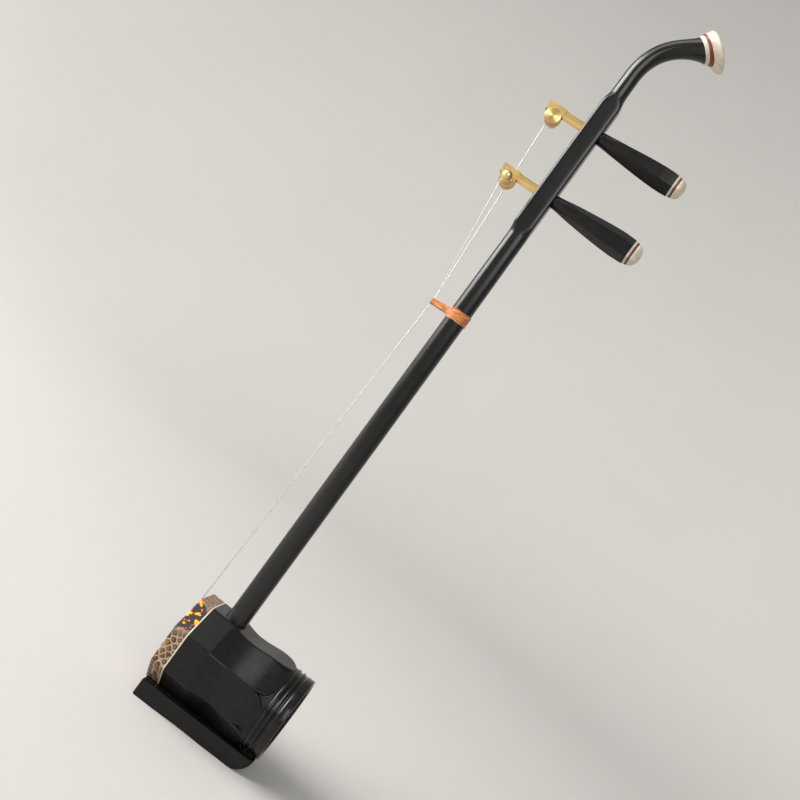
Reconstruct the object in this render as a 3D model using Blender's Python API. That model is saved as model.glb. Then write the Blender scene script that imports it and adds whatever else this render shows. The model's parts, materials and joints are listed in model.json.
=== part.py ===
"""Erhu: a two-string fiddle with an octagonal sound box, a curled head and two geared tuning pegs.

The frame is +Z up, -Y at the python skin, +Y at the peg handles, and X = 0 on the plane of symmetry.
The origin is on the surface that the base stands on, at the middle of the whole object's box.
Shapes are modelled about the neck's axis, and the empty erhu_frame moves them to that origin.
"""
import math

import bmesh
import bpy
from mathutils import Vector

MM = 0.001
GAP = 0.3 * MM  # clearance between touching pieces

# Sound box: an octagonal tube along Y
BOX_Z = 58.0 * MM
SKIN_FRONT = -36.9 * MM
BOX_REAR = 93.8 * MM
BOX_APOTHEM = 44.6 * MM
SKIN_THICKNESS = 0.6 * MM
SKIN_MARGIN_END = -22.9 * MM
BINDING_WIDTH = 1.1 * MM
RABBET_CHAMFER = 0.2 * MM
SCOOP_START = 4 * MM
WAIST_Y = 27 * MM
WAIST_APOTHEM = 41.0 * MM
LOBE_Y = 58 * MM
LOBE_APOTHEM = 43.4 * MM
STAVE_END = 73.4 * MM
LOBE_ROUND = 16.5 * MM  # radius of each lobe's rounded rear end
BODY_RADIUS = 42.4 * MM  # the turned body between the lobes
BOX_INNER = 36.5 * MM
RIM_RADIUS = 41.6 * MM
BEAD_RADIUS = 43.2 * MM
COLLAR_RADIUS = 42.8 * MM
GRILLE_Y = 84 * MM
GRILLE_THICKNESS = 3 * MM
FACETS = 8

# Base under the box
BASE_FRONT = -34 * MM
BASE_REAR = 92.5 * MM
BASE_TOP = 16.6 * MM
BASE_FRONT_HALF = 35 * MM
BASE_REAR_HALF = 25 * MM
BASE_CORNER = 19 * MM
ARCH_RISE = 1.0 * MM
CHANNEL_HALF = 6 * MM
CHANNEL_FLOOR = 3.6 * MM
SCREW_PLACES = (20 * MM, 56 * MM)
SCREW_RADIUS = 1.6 * MM
SCREW_HEAD_RADIUS = 3.2 * MM
SCREW_TIP_Z = 18.5 * MM

# Neck
NECK_TAIL_Z = 4.2 * MM
TENON_HALF = 6.8 * MM
NECK_FOOT_Z = BOX_Z + BOX_APOTHEM + GAP
HEAD_OUTER = ((-9.2, 736.0), (-9.2, 782.0), (20.4, 791.4), (28.0, 801.2))
HEAD_INNER = ((6.7, 736.0), (6.7, 775.2), (39.6, 785.2), (47.1, 785.2))
HEAD_NARROWING = 0.97
PEG_FACE_FRONT = 10.9 * MM
PEG_FACE_BACK = 9.3 * MM

# Pegs and their worm gears
UPPER_PEG_Z = 672.4 * MM
LOWER_PEG_Z = 599.0 * MM
UPPER_HANDLE = 80.7 * MM
LOWER_HANDLE = 84.2 * MM
HANDLE_RADIUS = 13.1 * MM
UPPER_HANDLE_TURN = math.radians(21.5)
LOWER_HANDLE_TURN = math.radians(10.2 + 30)
SHAFT_RADIUS = 2.4 * MM
SLEEVE_RADIUS = 4.6 * MM
SLEEVE_BORE = 3.3 * MM
HOUSING_TIP = -50.5 * MM
HOUSING_BACK = -32.5 * MM
HOUSING_HALF = 4.4 * MM
SPOOL_Y = -39.8 * MM
SPOOL_DROP = 7.6 * MM
LOBE_RADIUS = 8.1 * MM
WHEEL_TEETH = 12
WHEEL_PITCH = 5.2 * MM
WORM_PITCH = SPOOL_DROP - WHEEL_PITCH
WHEEL_HALF = 1.2 * MM
AXLE_RADIUS = 2.0 * MM
BARREL_RADIUS = 3.4 * MM
WINDING_RADIUS = 4.5 * MM
BALL_RADIUS = 5.4 * MM
BALL_X = 13.8 * MM
STRING_X_AT_SPOOL = 9.1 * MM
DISC_RADIUS = 7.9 * MM

# Strings and what holds them
QIANJIN_Z = 457.4 * MM
STRING_Y_AT_QIANJIN = -29.4 * MM
QIANJIN_HEIGHT = 12 * MM
LOOP_HEIGHT = 6 * MM
INNER_STRING = 0.35 * MM
OUTER_STRING = 0.28 * MM
BRIDGE_HEIGHT = 3.9 * MM
BRIDGE_DEPTH = 5 * MM
BRIDGE_HALF = 8.5 * MM
PAD_Z = BOX_Z - 13 * MM
PIN_Z = 9.6 * MM
PIN_RADIUS = 1.5 * MM
PIN_HEAD_Y = -15.4 * MM
HOOK_RADIUS = PIN_RADIUS + GAP + INNER_STRING + 0.1 * MM

# The neck's axis from the middle of the object, which spans the housings' tips and the lower peg's dome
RING_WIDTH = 1.85 * MM
DOME_LENGTH = 7.7 * MM
DOME_SHARES = (0, 0.25, 0.5, 0.72, 0.9, 0.985)
LOWER_TIP = PEG_FACE_BACK + LOWER_HANDLE + 2 * (RING_WIDTH + GAP) + GAP + DOME_SHARES[-1] * DOME_LENGTH
NECK_Y = -(HOUSING_TIP + LOWER_TIP) / 2


def clear_scene():
    for thing in list(bpy.data.objects):
        bpy.data.objects.remove(thing, do_unlink=True)


def material(name, colour, roughness, metallic=0.0):
    made = bpy.data.materials.new(name)
    made.use_nodes = True
    shader = made.node_tree.nodes["Principled BSDF"]
    shader.inputs["Base Color"].default_value = (*colour, 1)
    shader.inputs["Roughness"].default_value = roughness
    shader.inputs["Metallic"].default_value = metallic
    return made


def make_materials():
    return {
        "black_wood": material("black_wood", (0.016, 0.015, 0.014), 0.28),
        "bone": material("bone", (0.80, 0.76, 0.62), 0.4),
        "red_ring": material("red_ring", (0.32, 0.05, 0.02), 0.4),
        "python": material("python", (0.45, 0.40, 0.30), 0.55),
        "brass": material("brass", (0.72, 0.50, 0.20), 0.28, 1.0),
        "steel": material("steel", (0.62, 0.62, 0.62), 0.3, 1.0),
        "thread": material("thread", (0.72, 0.28, 0.08), 0.7),
        "maple": material("maple", (0.62, 0.40, 0.20), 0.5),
        "felt": material("felt", (0.05, 0.05, 0.06), 0.9),
    }


def empty(name, parent, location, rotation=(0, 0, 0)):
    made = bpy.data.objects.new(name, None)
    bpy.context.scene.collection.objects.link(made)
    made.parent = parent
    made.location = location
    made.rotation_euler = rotation
    return made


def finish_mesh(name, mesh_data, finish, parent, smooth=True):
    """Turns a bmesh into a named object under its parent."""
    bmesh.ops.recalc_face_normals(mesh_data, faces=mesh_data.faces)
    mesh = bpy.data.meshes.new(name)
    mesh_data.to_mesh(mesh)
    mesh_data.free()
    if smooth:
        mesh.shade_smooth()
        mesh.set_sharp_from_angle(angle=math.radians(32))
    made = bpy.data.objects.new(name, mesh)
    bpy.context.scene.collection.objects.link(made)
    made.parent = parent
    if finish is not None:
        mesh.materials.append(finish)
    return made


def bridge_rings(mesh_data, first, second):
    count = len(first)
    for i in range(count):
        j = (i + 1) % count
        mesh_data.faces.new((first[i], first[j], second[j], second[i]))


def loft(name, rings, finish, parent, closed=False, smooth=True):
    """A skin over rings of points, capped at both ends, or joined end to end when closed."""
    mesh_data = bmesh.new()
    made = [[mesh_data.verts.new(point) for point in ring] for ring in rings]
    for first, second in zip(made, made[1:]):
        bridge_rings(mesh_data, first, second)
    if closed:
        bridge_rings(mesh_data, made[-1], made[0])
    else:
        mesh_data.faces.new(made[0])
        mesh_data.faces.new(made[-1])
    return finish_mesh(name, mesh_data, finish, parent, smooth)


def circle(height, radius, sides, turn=0.0):
    """Points of a circle about the local Z axis."""
    angles = [turn + 2 * math.pi * i / sides for i in range(sides)]
    return [Vector((radius * math.cos(a), radius * math.sin(a), height)) for a in angles]


def turned(name, profile, sides, finish, parent):
    """A solid turned about local Z from (height, radius) pairs."""
    return loft(name, [circle(height, radius, sides) for height, radius in profile], finish, parent)


def turned_ring(name, profile, sides, finish, parent):
    """A ring turned about local Z from a closed outline of (height, radius) pairs."""
    rings = []
    for i in range(sides):
        angle = 2 * math.pi * i / sides
        rings.append([Vector((r * math.cos(angle), r * math.sin(angle), h)) for h, r in profile])
    return loft(name, rings, finish, parent, closed=True)


def prism(name, outline, low, high, finish, parent, axis="Z", smooth=False):
    """An outline of pairs extruded along an axis: (x, y) for Z, (y, z) for X, (x, z) for Y."""
    place = {
        "X": lambda a, b, c: Vector((c, a, b)),
        "Y": lambda a, b, c: Vector((a, c, b)),
        "Z": lambda a, b, c: Vector((a, b, c)),
    }[axis]
    rings = [[place(a, b, c) for a, b in outline] for c in (low, high)]
    return loft(name, rings, finish, parent, smooth=smooth)


def modify(thing, other, operation):
    """Adds an exact Boolean with a hidden helper."""
    other.hide_render = True
    other.display_type = "WIRE"
    boolean = thing.modifiers.new(other.name, "BOOLEAN")
    boolean.operation = operation
    boolean.solver = "EXACT"
    boolean.object = other


def cylinder_cutter(name, radius, low, high, parent, sides, location=(0, 0, 0), rotation=(0, 0, 0)):
    cutter = turned(name, [(low, radius), (high, radius)], sides, None, parent)
    cutter.location = location
    cutter.rotation_euler = rotation
    return cutter


def box_cutter(name, low, high, parent):
    outline = [(low[0], low[1]), (high[0], low[1]), (high[0], high[1]), (low[0], high[1])]
    return prism(name, outline, low[2], high[2], None, parent)


def octagon(apothem):
    """Corners (x, z) of the box's octagon, with a flat at the top."""
    reach = apothem / math.cos(math.pi / FACETS)
    angles = [(i + 0.5) * 2 * math.pi / FACETS for i in range(FACETS)]
    return [(reach * math.sin(a), BOX_Z + reach * math.cos(a)) for a in angles]


# Sound box


def stave_apothem(y):
    """Half the width across the flats: straight in front, scooped to a waist, full again at the lobes."""
    if y <= SCOOP_START:
        return BOX_APOTHEM
    if y <= WAIST_Y:
        share = (y - SCOOP_START) / (WAIST_Y - SCOOP_START)
        return BOX_APOTHEM + (WAIST_APOTHEM - BOX_APOTHEM) * math.sin(math.pi / 2 * share)
    if y <= LOBE_Y:
        share = (y - WAIST_Y) / (LOBE_Y - WAIST_Y)
        return WAIST_APOTHEM + (LOBE_APOTHEM - WAIST_APOTHEM) * (1 - math.cos(math.pi * share)) / 2
    return LOBE_APOTHEM + (BODY_RADIUS - LOBE_APOTHEM) * ((y - LOBE_Y) / (STAVE_END - LOBE_Y)) ** 2


def stave_outside(y, apothem):
    """(angle from the middle, radius) of half a stave's outer side, from its lobe's edge to its joint."""
    joint = math.pi / FACETS
    if y <= LOBE_Y:
        edge = 0.8 * joint
        return [(edge, apothem / math.cos(edge)), (joint, apothem / math.cos(joint))]
    half = math.sqrt(max(LOBE_ROUND**2 - (y - LOBE_Y) ** 2, 0))
    edge = min(math.atan(half / apothem), 0.8 * joint)
    return [(edge, max(apothem / math.cos(edge), BODY_RADIUS)), (joint, BODY_RADIUS)]


def make_stave(name, index, finish, parent):
    """One of the eight boards, with half the gap taken off each long edge."""
    angle = index * 2 * math.pi / FACETS
    normal = Vector((math.sin(angle), 0, math.cos(angle)))
    along = Vector((math.cos(angle), 0, -math.sin(angle)))
    joint = math.pi / FACETS
    inset = GAP / 2 / math.cos(joint)
    rabbet = BOX_APOTHEM - SKIN_THICKNESS - GAP
    rabbet_end = SKIN_MARGIN_END + BINDING_WIDTH + 2 * GAP
    full = [rabbet_end + RABBET_CHAMFER, SCOOP_START, 6 * MM, 16 * MM, WAIST_Y]
    full += [38 * MM, 48 * MM, LOBE_Y, 64 * MM, 69 * MM, STAVE_END - MM, STAVE_END]
    stations = [(SKIN_FRONT + SKIN_THICKNESS + GAP, rabbet), (rabbet_end, rabbet)]
    stations += [(y, stave_apothem(y)) for y in full]
    rings = []
    for y, outer in stations:
        half = stave_outside(y, outer) + [(joint, BOX_INNER / math.cos(joint))]
        corners = [(-a, radius) for a, radius in reversed(half)] + half
        ring = []
        for a, radius in corners:
            across = radius * math.sin(a)
            if abs(a) == joint:
                across -= math.copysign(inset, a)
            ring.append(normal * (radius * math.cos(a)) + along * across + Vector((0, y, BOX_Z)))
        rings.append(ring)
    return loft(name, rings, finish, parent, smooth=False)


def tenon_hole(name, parent, low, high):
    reach = TENON_HALF + GAP
    return box_cutter(name, (-reach, -reach, low), (reach, reach, high), parent)


def make_sound_box(finishes, parent):
    names = ["top", "upper_right", "right", "lower_right", "bottom", "lower_left", "left", "upper_left"]
    wood = finishes["black_wood"]
    staves = [make_stave("stave_" + name, i, wood, parent) for i, name in enumerate(names)]
    hole = tenon_hole("tenon_hole", parent, 0, BOX_Z + 60 * MM)
    modify(staves[0], hole, "DIFFERENCE")
    modify(staves[4], hole, "DIFFERENCE")
    for place, y in enumerate(SCREW_PLACES):
        pilot = cylinder_cutter(f"pilot_{place}", SCREW_RADIUS + GAP, 0, SCREW_TIP_Z + GAP, parent, 10)
        pilot.location = (0, y, 0)
        modify(staves[4], pilot, "DIFFERENCE")
    make_rear_rim(wood, parent)
    make_grille(wood, parent)


def box_axis(name, parent):
    """An empty on the box's axis whose local Z runs along +Y."""
    return empty(name, parent, (0, 0, BOX_Z), (-math.pi / 2, 0, 0))


def make_rear_rim(finish, parent):
    axis = box_axis("rim_axis", parent)
    start = STAVE_END + GAP
    seat = GRILLE_THICKNESS + 2 * GAP
    profile = [
        (start, BOX_INNER),
        (start, RIM_RADIUS),
        (75.0 * MM, BEAD_RADIUS),
        (77.6 * MM, BEAD_RADIUS),
        (78.8 * MM, RIM_RADIUS),
        (80.0 * MM, BEAD_RADIUS),
        (82.4 * MM, BEAD_RADIUS),
        (83.6 * MM, RIM_RADIUS),
        (85.4 * MM, COLLAR_RADIUS),
        (BOX_REAR - 0.8 * MM, COLLAR_RADIUS),
        (BOX_REAR, COLLAR_RADIUS - 0.8 * MM),
        (BOX_REAR, BOX_INNER + 1.5 * MM),
        (GRILLE_Y + seat, BOX_INNER),
        (GRILLE_Y, BOX_INNER),
    ]
    turned_ring("rear_rim", profile, 32, finish, axis)


def make_grille(finish, parent):
    """The sound window: a pierced disc with a centre ring and eight spokes."""
    axis = box_axis("grille_axis", parent)
    low, high = GRILLE_Y, GRILLE_Y + GRILLE_THICKNESS
    grille = turned("rear_grille", [(low, BOX_INNER - GAP), (high, BOX_INNER - GAP)], 32, finish, axis)
    inner, outer, spoke = 13 * MM, 31 * MM, 2.6 * MM
    steps = 3
    for i in range(FACETS):
        middle = 2 * math.pi * i / FACETS
        outline = []
        for radius, order in ((inner, 1), (outer, -1)):
            reach = math.pi / FACETS - math.asin(spoke / 2 / radius)
            for step in range(steps + 1):
                angle = middle + order * (2 * step / steps - 1) * reach
                outline.append((radius * math.cos(angle), radius * math.sin(angle)))
        window = prism(f"window_{i}", outline, low - MM, high + MM, None, axis)
        modify(grille, window, "DIFFERENCE")
    hub = cylinder_cutter("window_hub", 8 * MM, low - MM, high + MM, axis, 16)
    modify(grille, hub, "DIFFERENCE")


def octagon_ring(name, outer, inner, front, rear, finish, parent):
    """A closed band that follows the octagon."""
    mesh_data = bmesh.new()
    loops = []
    for apothem, y in ((outer, front), (outer, rear), (inner, rear), (inner, front)):
        loops.append([mesh_data.verts.new((x, y, z)) for x, z in octagon(apothem)])
    for first, second in zip(loops, loops[1:] + loops[:1]):
        bridge_rings(mesh_data, first, second)
    return finish_mesh(name, mesh_data, finish, parent, smooth=False)


def make_skin(finishes, parent):
    """The skin is split into its playing face and its side margin, so that each is a simple solid."""
    face_back = SKIN_FRONT + SKIN_THICKNESS
    python = finishes["python"]
    prism("python_skin_face", octagon(BOX_APOTHEM), SKIN_FRONT, face_back, python, parent, "Y")
    inner = BOX_APOTHEM - SKIN_THICKNESS
    front = face_back + GAP
    octagon_ring("python_skin_margin", BOX_APOTHEM, inner, front, SKIN_MARGIN_END, python, parent)
    front = SKIN_MARGIN_END + GAP
    outer = BOX_APOTHEM + 0.25 * MM
    octagon_ring("skin_binding", outer, inner, front, front + BINDING_WIDTH, finishes["bone"], parent)


# Base


def base_side_outline():
    """(y, z) points of the base from the side: two feet with a shallow arch, and a rear rounded to the top."""
    arch_start, arch_end = -12 * MM, 46 * MM
    points = [(BASE_FRONT, BASE_TOP), (BASE_FRONT, 1.5 * MM), (BASE_FRONT + 1.5 * MM, 0)]
    steps = 6
    for step in range(steps + 1):
        share = step / steps
        y = arch_start + (arch_end - arch_start) * share
        points.append((y, ARCH_RISE * math.sin(math.pi * share) ** 2))
    centre = (BASE_REAR - BASE_CORNER, BASE_CORNER)
    top_angle = math.asin((BASE_TOP - BASE_CORNER) / BASE_CORNER)
    for step in range(7):
        angle = -math.pi / 2 + (top_angle + math.pi / 2) * step / 6
        y = centre[0] + BASE_CORNER * math.cos(angle)
        points.append((y, centre[1] + BASE_CORNER * math.sin(angle)))
    return points


def base_plan_outline():
    """(x, y) points of the base from above: it narrows to the rear, with rounded rear corners."""
    right = [(BASE_FRONT_HALF, BASE_FRONT - MM)]
    corner = 9 * MM
    for step in range(5):
        angle = math.pi / 2 * step / 4
        x = BASE_REAR_HALF - corner + corner * math.cos(angle)
        right.append((x, BASE_REAR + 0.6 * MM - corner + corner * math.sin(angle)))
    return right + [(-x, y) for x, y in reversed(right)]


def make_base(finishes, parent):
    base = prism("base_block", base_plan_outline(), -MM, BASE_TOP + MM, finishes["black_wood"], parent)
    side = prism("base_side", base_side_outline(), -50 * MM, 50 * MM, None, parent, "X")
    modify(base, side, "INTERSECT")
    cradle_low = BOX_Z - BOX_APOTHEM - 2 * GAP
    half = BOX_APOTHEM * math.tan(math.pi / FACETS) + GAP
    rise = 8 * MM
    outline = [(-half, cradle_low), (half, cradle_low), (half + rise, cradle_low + rise)]
    outline.append((-half - rise, cradle_low + rise))
    cradle = prism("cradle", outline, BASE_FRONT - 5 * MM, BASE_REAR + 5 * MM, None, parent, "Y")
    modify(base, cradle, "DIFFERENCE")
    low = (-CHANNEL_HALF, BASE_FRONT - 5 * MM, CHANNEL_FLOOR)
    high = (CHANNEL_HALF, 0, BASE_TOP + 5 * MM)
    modify(base, box_cutter("string_channel", low, high, parent), "DIFFERENCE")
    reach = TENON_HALF + 1.2 * MM
    pocket = box_cutter("tail_pocket", (-reach, -reach, CHANNEL_FLOOR), (reach, reach, 30 * MM), parent)
    modify(base, pocket, "DIFFERENCE")
    for place, y in enumerate(SCREW_PLACES):
        hole = cylinder_cutter(f"screw_hole_{place}", SCREW_RADIUS + GAP, -MM, 20 * MM, parent, 12)
        seat = cylinder_cutter(f"screw_seat_{place}", SCREW_HEAD_RADIUS + GAP, -MM, 4.6 * MM, parent, 16)
        hole.location = (0, y, 0)
        seat.location = (0, y, 0)
        modify(base, hole, "DIFFERENCE")
        modify(base, seat, "DIFFERENCE")
    for name, y in zip(("front", "rear"), SCREW_PLACES):
        make_screw("base_screw_" + name, y, finishes["brass"], parent)


def make_screw(name, y, finish, parent):
    profile = [
        (2.2 * MM, SCREW_HEAD_RADIUS),
        (4.3 * MM, SCREW_HEAD_RADIUS),
        (4.3 * MM, SCREW_RADIUS),
        (SCREW_TIP_Z - 2 * MM, SCREW_RADIUS),
        (SCREW_TIP_Z, 0.4 * MM),
    ]
    screw = turned(name, profile, 12, finish, parent)
    screw.location = (0, y, 0)
    low = (-SCREW_HEAD_RADIUS - MM, y - 0.4 * MM, MM)
    high = (SCREW_HEAD_RADIUS + MM, y + 0.4 * MM, 3.1 * MM)
    modify(screw, box_cutter(name + "_slot", low, high, parent), "DIFFERENCE")


# Neck and head


def section(centre, tilt, half_out, half_x, power, sides=16):
    """A rounded section across the neck: half_out is towards the front and back, half_x is sideways."""
    outward = Vector((0, math.cos(tilt), -math.sin(tilt)))
    points = []
    for i in range(sides):
        angle = 2 * math.pi * (i + 0.5) / sides
        across, out = math.cos(angle), math.sin(angle)
        stretch = (abs(across) ** power + abs(out) ** power) ** (-1 / power)
        sideways = Vector((half_x * across * stretch, 0, 0))
        points.append(centre + sideways + outward * (half_out * out * stretch))
    return points


def curve_point(controls, t):
    """A point of a Bezier curve given by four (Y, Z) pairs in millimetres."""
    weights = ((1 - t) ** 3, 3 * t * (1 - t) ** 2, 3 * t * t * (1 - t), t**3)
    place = Vector()
    for weight, (y, z) in zip(weights, controls):
        place += weight * Vector((0, y, z)) * MM
    return place


def head_section(t):
    """Centre, tilt and radius of the curled head, between its outer and inner edges, for t from 0 to 1."""
    outer, inner = curve_point(HEAD_OUTER, t), curve_point(HEAD_INNER, t)
    across = inner - outer
    return (outer + inner) / 2, math.atan2(-across.z, across.y), across.length / 2


def make_neck(finishes, parent):
    middle = (PEG_FACE_BACK - PEG_FACE_FRONT) / 2
    face = (PEG_FACE_BACK + PEG_FACE_FRONT) / 2
    stations = [  # height, offset in Y, half depth in Y, half width in X, squareness
        (NECK_TAIL_Z, 0, TENON_HALF, TENON_HALF, 6),
        (NECK_FOOT_Z, 0, TENON_HALF, TENON_HALF, 6),
        (NECK_FOOT_Z, 0, 11.6 * MM, 10.4 * MM, 2.5),
        (NECK_FOOT_Z + 3 * MM, 0, 11.3 * MM, 10.0 * MM, 2.5),
        (NECK_FOOT_Z + 9 * MM, 0, 10.7 * MM, 9.4 * MM, 2.4),
        (325 * MM, 0, 10.7 * MM, 9.4 * MM, 2.4),
        (QIANJIN_Z, 0, 10.3 * MM, 9.1 * MM, 2.4),
        (552 * MM, -0.2 * MM, 9.7 * MM, 8.6 * MM, 2.4),
        (559 * MM, middle * 0.7, 10.0 * MM, 8.5 * MM, 4),
        (566 * MM, middle, face, 8.4 * MM, 9),
        (701 * MM, middle, face, 8.4 * MM, 9),
        (708 * MM, -0.9 * MM, 9.2 * MM, 8.3 * MM, 4),
        (715 * MM, -1.1 * MM, 8.2 * MM, 8.0 * MM, 2.2),
        (726 * MM, -1.2 * MM, 8.0 * MM, 7.9 * MM, 2.1),
    ]
    rings = [section(Vector((0, y, z)), 0, out, across, power) for z, y, out, across, power in stations]
    steps = 9
    for step in range(steps + 1):
        t = step / steps
        place, tilt, radius = head_section(t)
        rings.append(section(place, tilt, radius, radius * HEAD_NARROWING, 2))
    neck = loft("neck", rings, finishes["black_wood"], parent)
    turn = (-math.pi / 2, 0, 0)
    reach = 20 * MM
    radius = SLEEVE_RADIUS + GAP
    for name, z in (("upper", UPPER_PEG_Z), ("lower", LOWER_PEG_Z)):
        bore = cylinder_cutter(name + "_bore", radius, -reach, reach, parent, 20, (0, 0, z), turn)
        modify(neck, bore, "DIFFERENCE")


def make_head_cap(finishes, parent):
    """Bone ring, red ring and flared bone cap: lofts of circles that drift towards the lower side."""
    end, tilt, _ = head_section(1)
    forward = Vector((0, math.sin(tilt), math.cos(tilt)))
    downward = Vector((0, math.cos(tilt), -math.sin(tilt)))
    pieces = {  # along the head's axis, drift, radius
        "head_ring_bone": [(0.3, 0.1, 12.7), (3.1, 0.6, 13.7)],
        "head_ring_red": [(3.4, 0.7, 13.8), (5.6, 1.6, 15.6)],
        "head_cap": [
            (5.9, 1.8, 15.8),
            (8.2, 4.1, 18.0),
            (10.0, 5.4, 19.5),
            (11.6, 5.7, 20.05),
            (13.0, 5.5, 19.4),
            (14.6, 5.3, 15.5),
            (15.6, 5.2, 8.0),
        ],
    }
    for name, stations in pieces.items():
        rings = []
        for along, drift, radius in stations:
            centre = end + forward * (along * MM) + downward * (drift * MM)
            rings.append(section(centre, tilt, radius * MM, radius * MM, 2, 24))
        finish = finishes["red_ring"] if name == "head_ring_red" else finishes["bone"]
        loft(name, rings, finish, parent)


# Pegs


def rounded_hexagon(height, radius, hexness, turn):
    """Twelve points about local Z: six corners and six mid-flats, from a circle to a hexagon."""
    points = []
    for i in range(12):
        angle = turn + math.pi * i / 6
        flat = 1 - hexness * (1 - math.cos(math.pi / 6))
        reach = radius * (flat if i % 2 else 1)
        points.append(Vector((reach * math.cos(angle), reach * math.sin(angle), height)))
    return points


def make_handle(name, length, turn, finishes, axis):
    """Handle, bone ring, red ring and bone dome, all turning with the peg."""
    start = PEG_FACE_BACK + GAP
    end = start + length - GAP
    stations = [  # share of the length, share of the radius, hexness
        (0, 0.53, 0),
        (0.05, 0.55, 0.1),
        (0.18, 0.66, 0.6),
        (0.34, 0.76, 1),
        (0.59, 0.91, 1),
        (0.83, 1.0, 1),
        (0.95, 0.985, 1),
        (1, 0.95, 1),
    ]
    rings = [
        rounded_hexagon(start + share * (end - start), size * HANDLE_RADIUS, hexness, turn)
        for share, size, hexness in stations
    ]
    handle = loft(name + "_handle", rings, finishes["black_wood"], axis)
    ends = (start - MM, start + 42 * MM)
    bore = cylinder_cutter(name + "_handle_bore", SHAFT_RADIUS + GAP, *ends, axis, 12)
    modify(handle, bore, "DIFFERENCE")
    for part, finish, size in (("ring_bone", "bone", 0.94), ("ring_red", "red_ring", 0.90)):
        low = end + GAP
        end = low + RING_WIDTH
        rings = [
            rounded_hexagon(low, size * HANDLE_RADIUS, 0.9, turn),
            rounded_hexagon(end, (size - 0.03) * HANDLE_RADIUS, 0.9, turn),
        ]
        loft(f"{name}_{part}", rings, finishes[finish], axis)
    low = end + GAP
    rings = []
    for share in DOME_SHARES:
        size = 0.865 * HANDLE_RADIUS * math.sqrt(1 - share * share)
        rings.append(rounded_hexagon(low + share * DOME_LENGTH, size, 0.8 * (1 - share), turn))
    loft(name + "_dome", rings, finishes["bone"], axis)


def worm_offsets(lead):
    """(height, radius) of the thread's four corners, from the middle of the thread."""
    root, tip = WORM_PITCH - 0.65 * MM, WORM_PITCH + 0.5 * MM
    wide, narrow = 0.19 * lead, 0.1 * lead
    return [(-wide, root), (-narrow, tip), (narrow, tip), (wide, root)]


def make_worm_shaft(name, finish, axis):
    """A shaft with a right-hand thread of whole turns, its middle gap facing the wheel."""
    sides, turns = 12, 4
    lead = 2 * math.pi * WHEEL_PITCH / WHEEL_TEETH
    facing = math.pi / 2  # the local angle that points down
    count = sides * turns
    offsets = worm_offsets(lead)
    root = offsets[0][1]
    # A gap between threads sits over the wheel's centre at the facing angle.
    origin = SPOOL_Y - lead * turns / 2 - lead * facing / (2 * math.pi) + lead / 2
    mesh_data = bmesh.new()
    thread = []
    for k in range(count + 1):
        angle = 2 * math.pi * k / sides
        middle = origin + lead * k / sides
        row = []
        for height, radius in offsets:
            place = (radius * math.cos(angle), radius * math.sin(angle), middle + height)
            row.append(mesh_data.verts.new(place))
        thread.append(row)
    front = [mesh_data.verts.new(p) for p in circle(origin - 1.2 * MM, root, sides)]
    rear = [mesh_data.verts.new(p) for p in circle(origin + lead * turns + 1.2 * MM, root, sides)]
    for first, second in zip(thread, thread[1:]):
        for i in range(3):
            mesh_data.faces.new((first[i], second[i], second[i + 1], first[i + 1]))
    for k in range(count - sides):
        over = k + sides
        mesh_data.faces.new((thread[k][3], thread[k + 1][3], thread[over + 1][0], thread[over][0]))
    mesh_data.faces.new(list(reversed(thread[0])))
    mesh_data.faces.new(thread[count])
    for i in range(sides - 1):
        mesh_data.faces.new((front[i], front[i + 1], thread[i + 1][0], thread[i][0]))
        k = count - sides + i
        mesh_data.faces.new((rear[i], rear[i + 1], thread[k + 1][3], thread[k][3]))
    last = sides - 1
    near = [front[last], front[0], thread[0][0], thread[0][3], thread[sides][0], thread[last][0]]
    mesh_data.faces.new(near)
    k = count - sides
    far = [rear[last], rear[0], thread[k][3], thread[count][0], thread[count][3], thread[count - 1][3]]
    mesh_data.faces.new(far)
    ends = [
        (front, [(HOUSING_TIP + 1.4 * MM, 1.5 * MM)]),
        (rear, [(-30 * MM, root), (-29 * MM, SHAFT_RADIUS), (PEG_FACE_BACK + 40 * MM, SHAFT_RADIUS)]),
    ]
    for ring, stations in ends:
        for height, radius in stations:
            following = [mesh_data.verts.new(p) for p in circle(height, radius, sides)]
            bridge_rings(mesh_data, ring, following)
            ring = following
        mesh_data.faces.new(ring)
    finish_mesh(name + "_worm_shaft", mesh_data, finish, axis)


def make_wheel(name, finish, axis):
    """A gear with straight teeth; one tooth points along local +Z of the peg's plane at rest."""
    outline = []
    tip, root = WHEEL_PITCH + 0.45 * MM, WHEEL_PITCH - 0.65 * MM
    pitch = 2 * math.pi / WHEEL_TEETH
    for tooth in range(WHEEL_TEETH):
        middle = math.pi + tooth * pitch
        for share, radius in ((-0.24, root), (-0.11, tip), (0.11, tip), (0.24, root)):
            angle = middle + share * pitch
            outline.append((radius * math.cos(angle), radius * math.sin(angle)))
    wheel = prism(name + "_worm_wheel", outline, -WHEEL_HALF, WHEEL_HALF, finish, axis)
    bore = cylinder_cutter(name + "_wheel_bore", AXLE_RADIUS + GAP, -3 * MM, 3 * MM, axis, 16)
    modify(wheel, bore, "DIFFERENCE")


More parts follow.
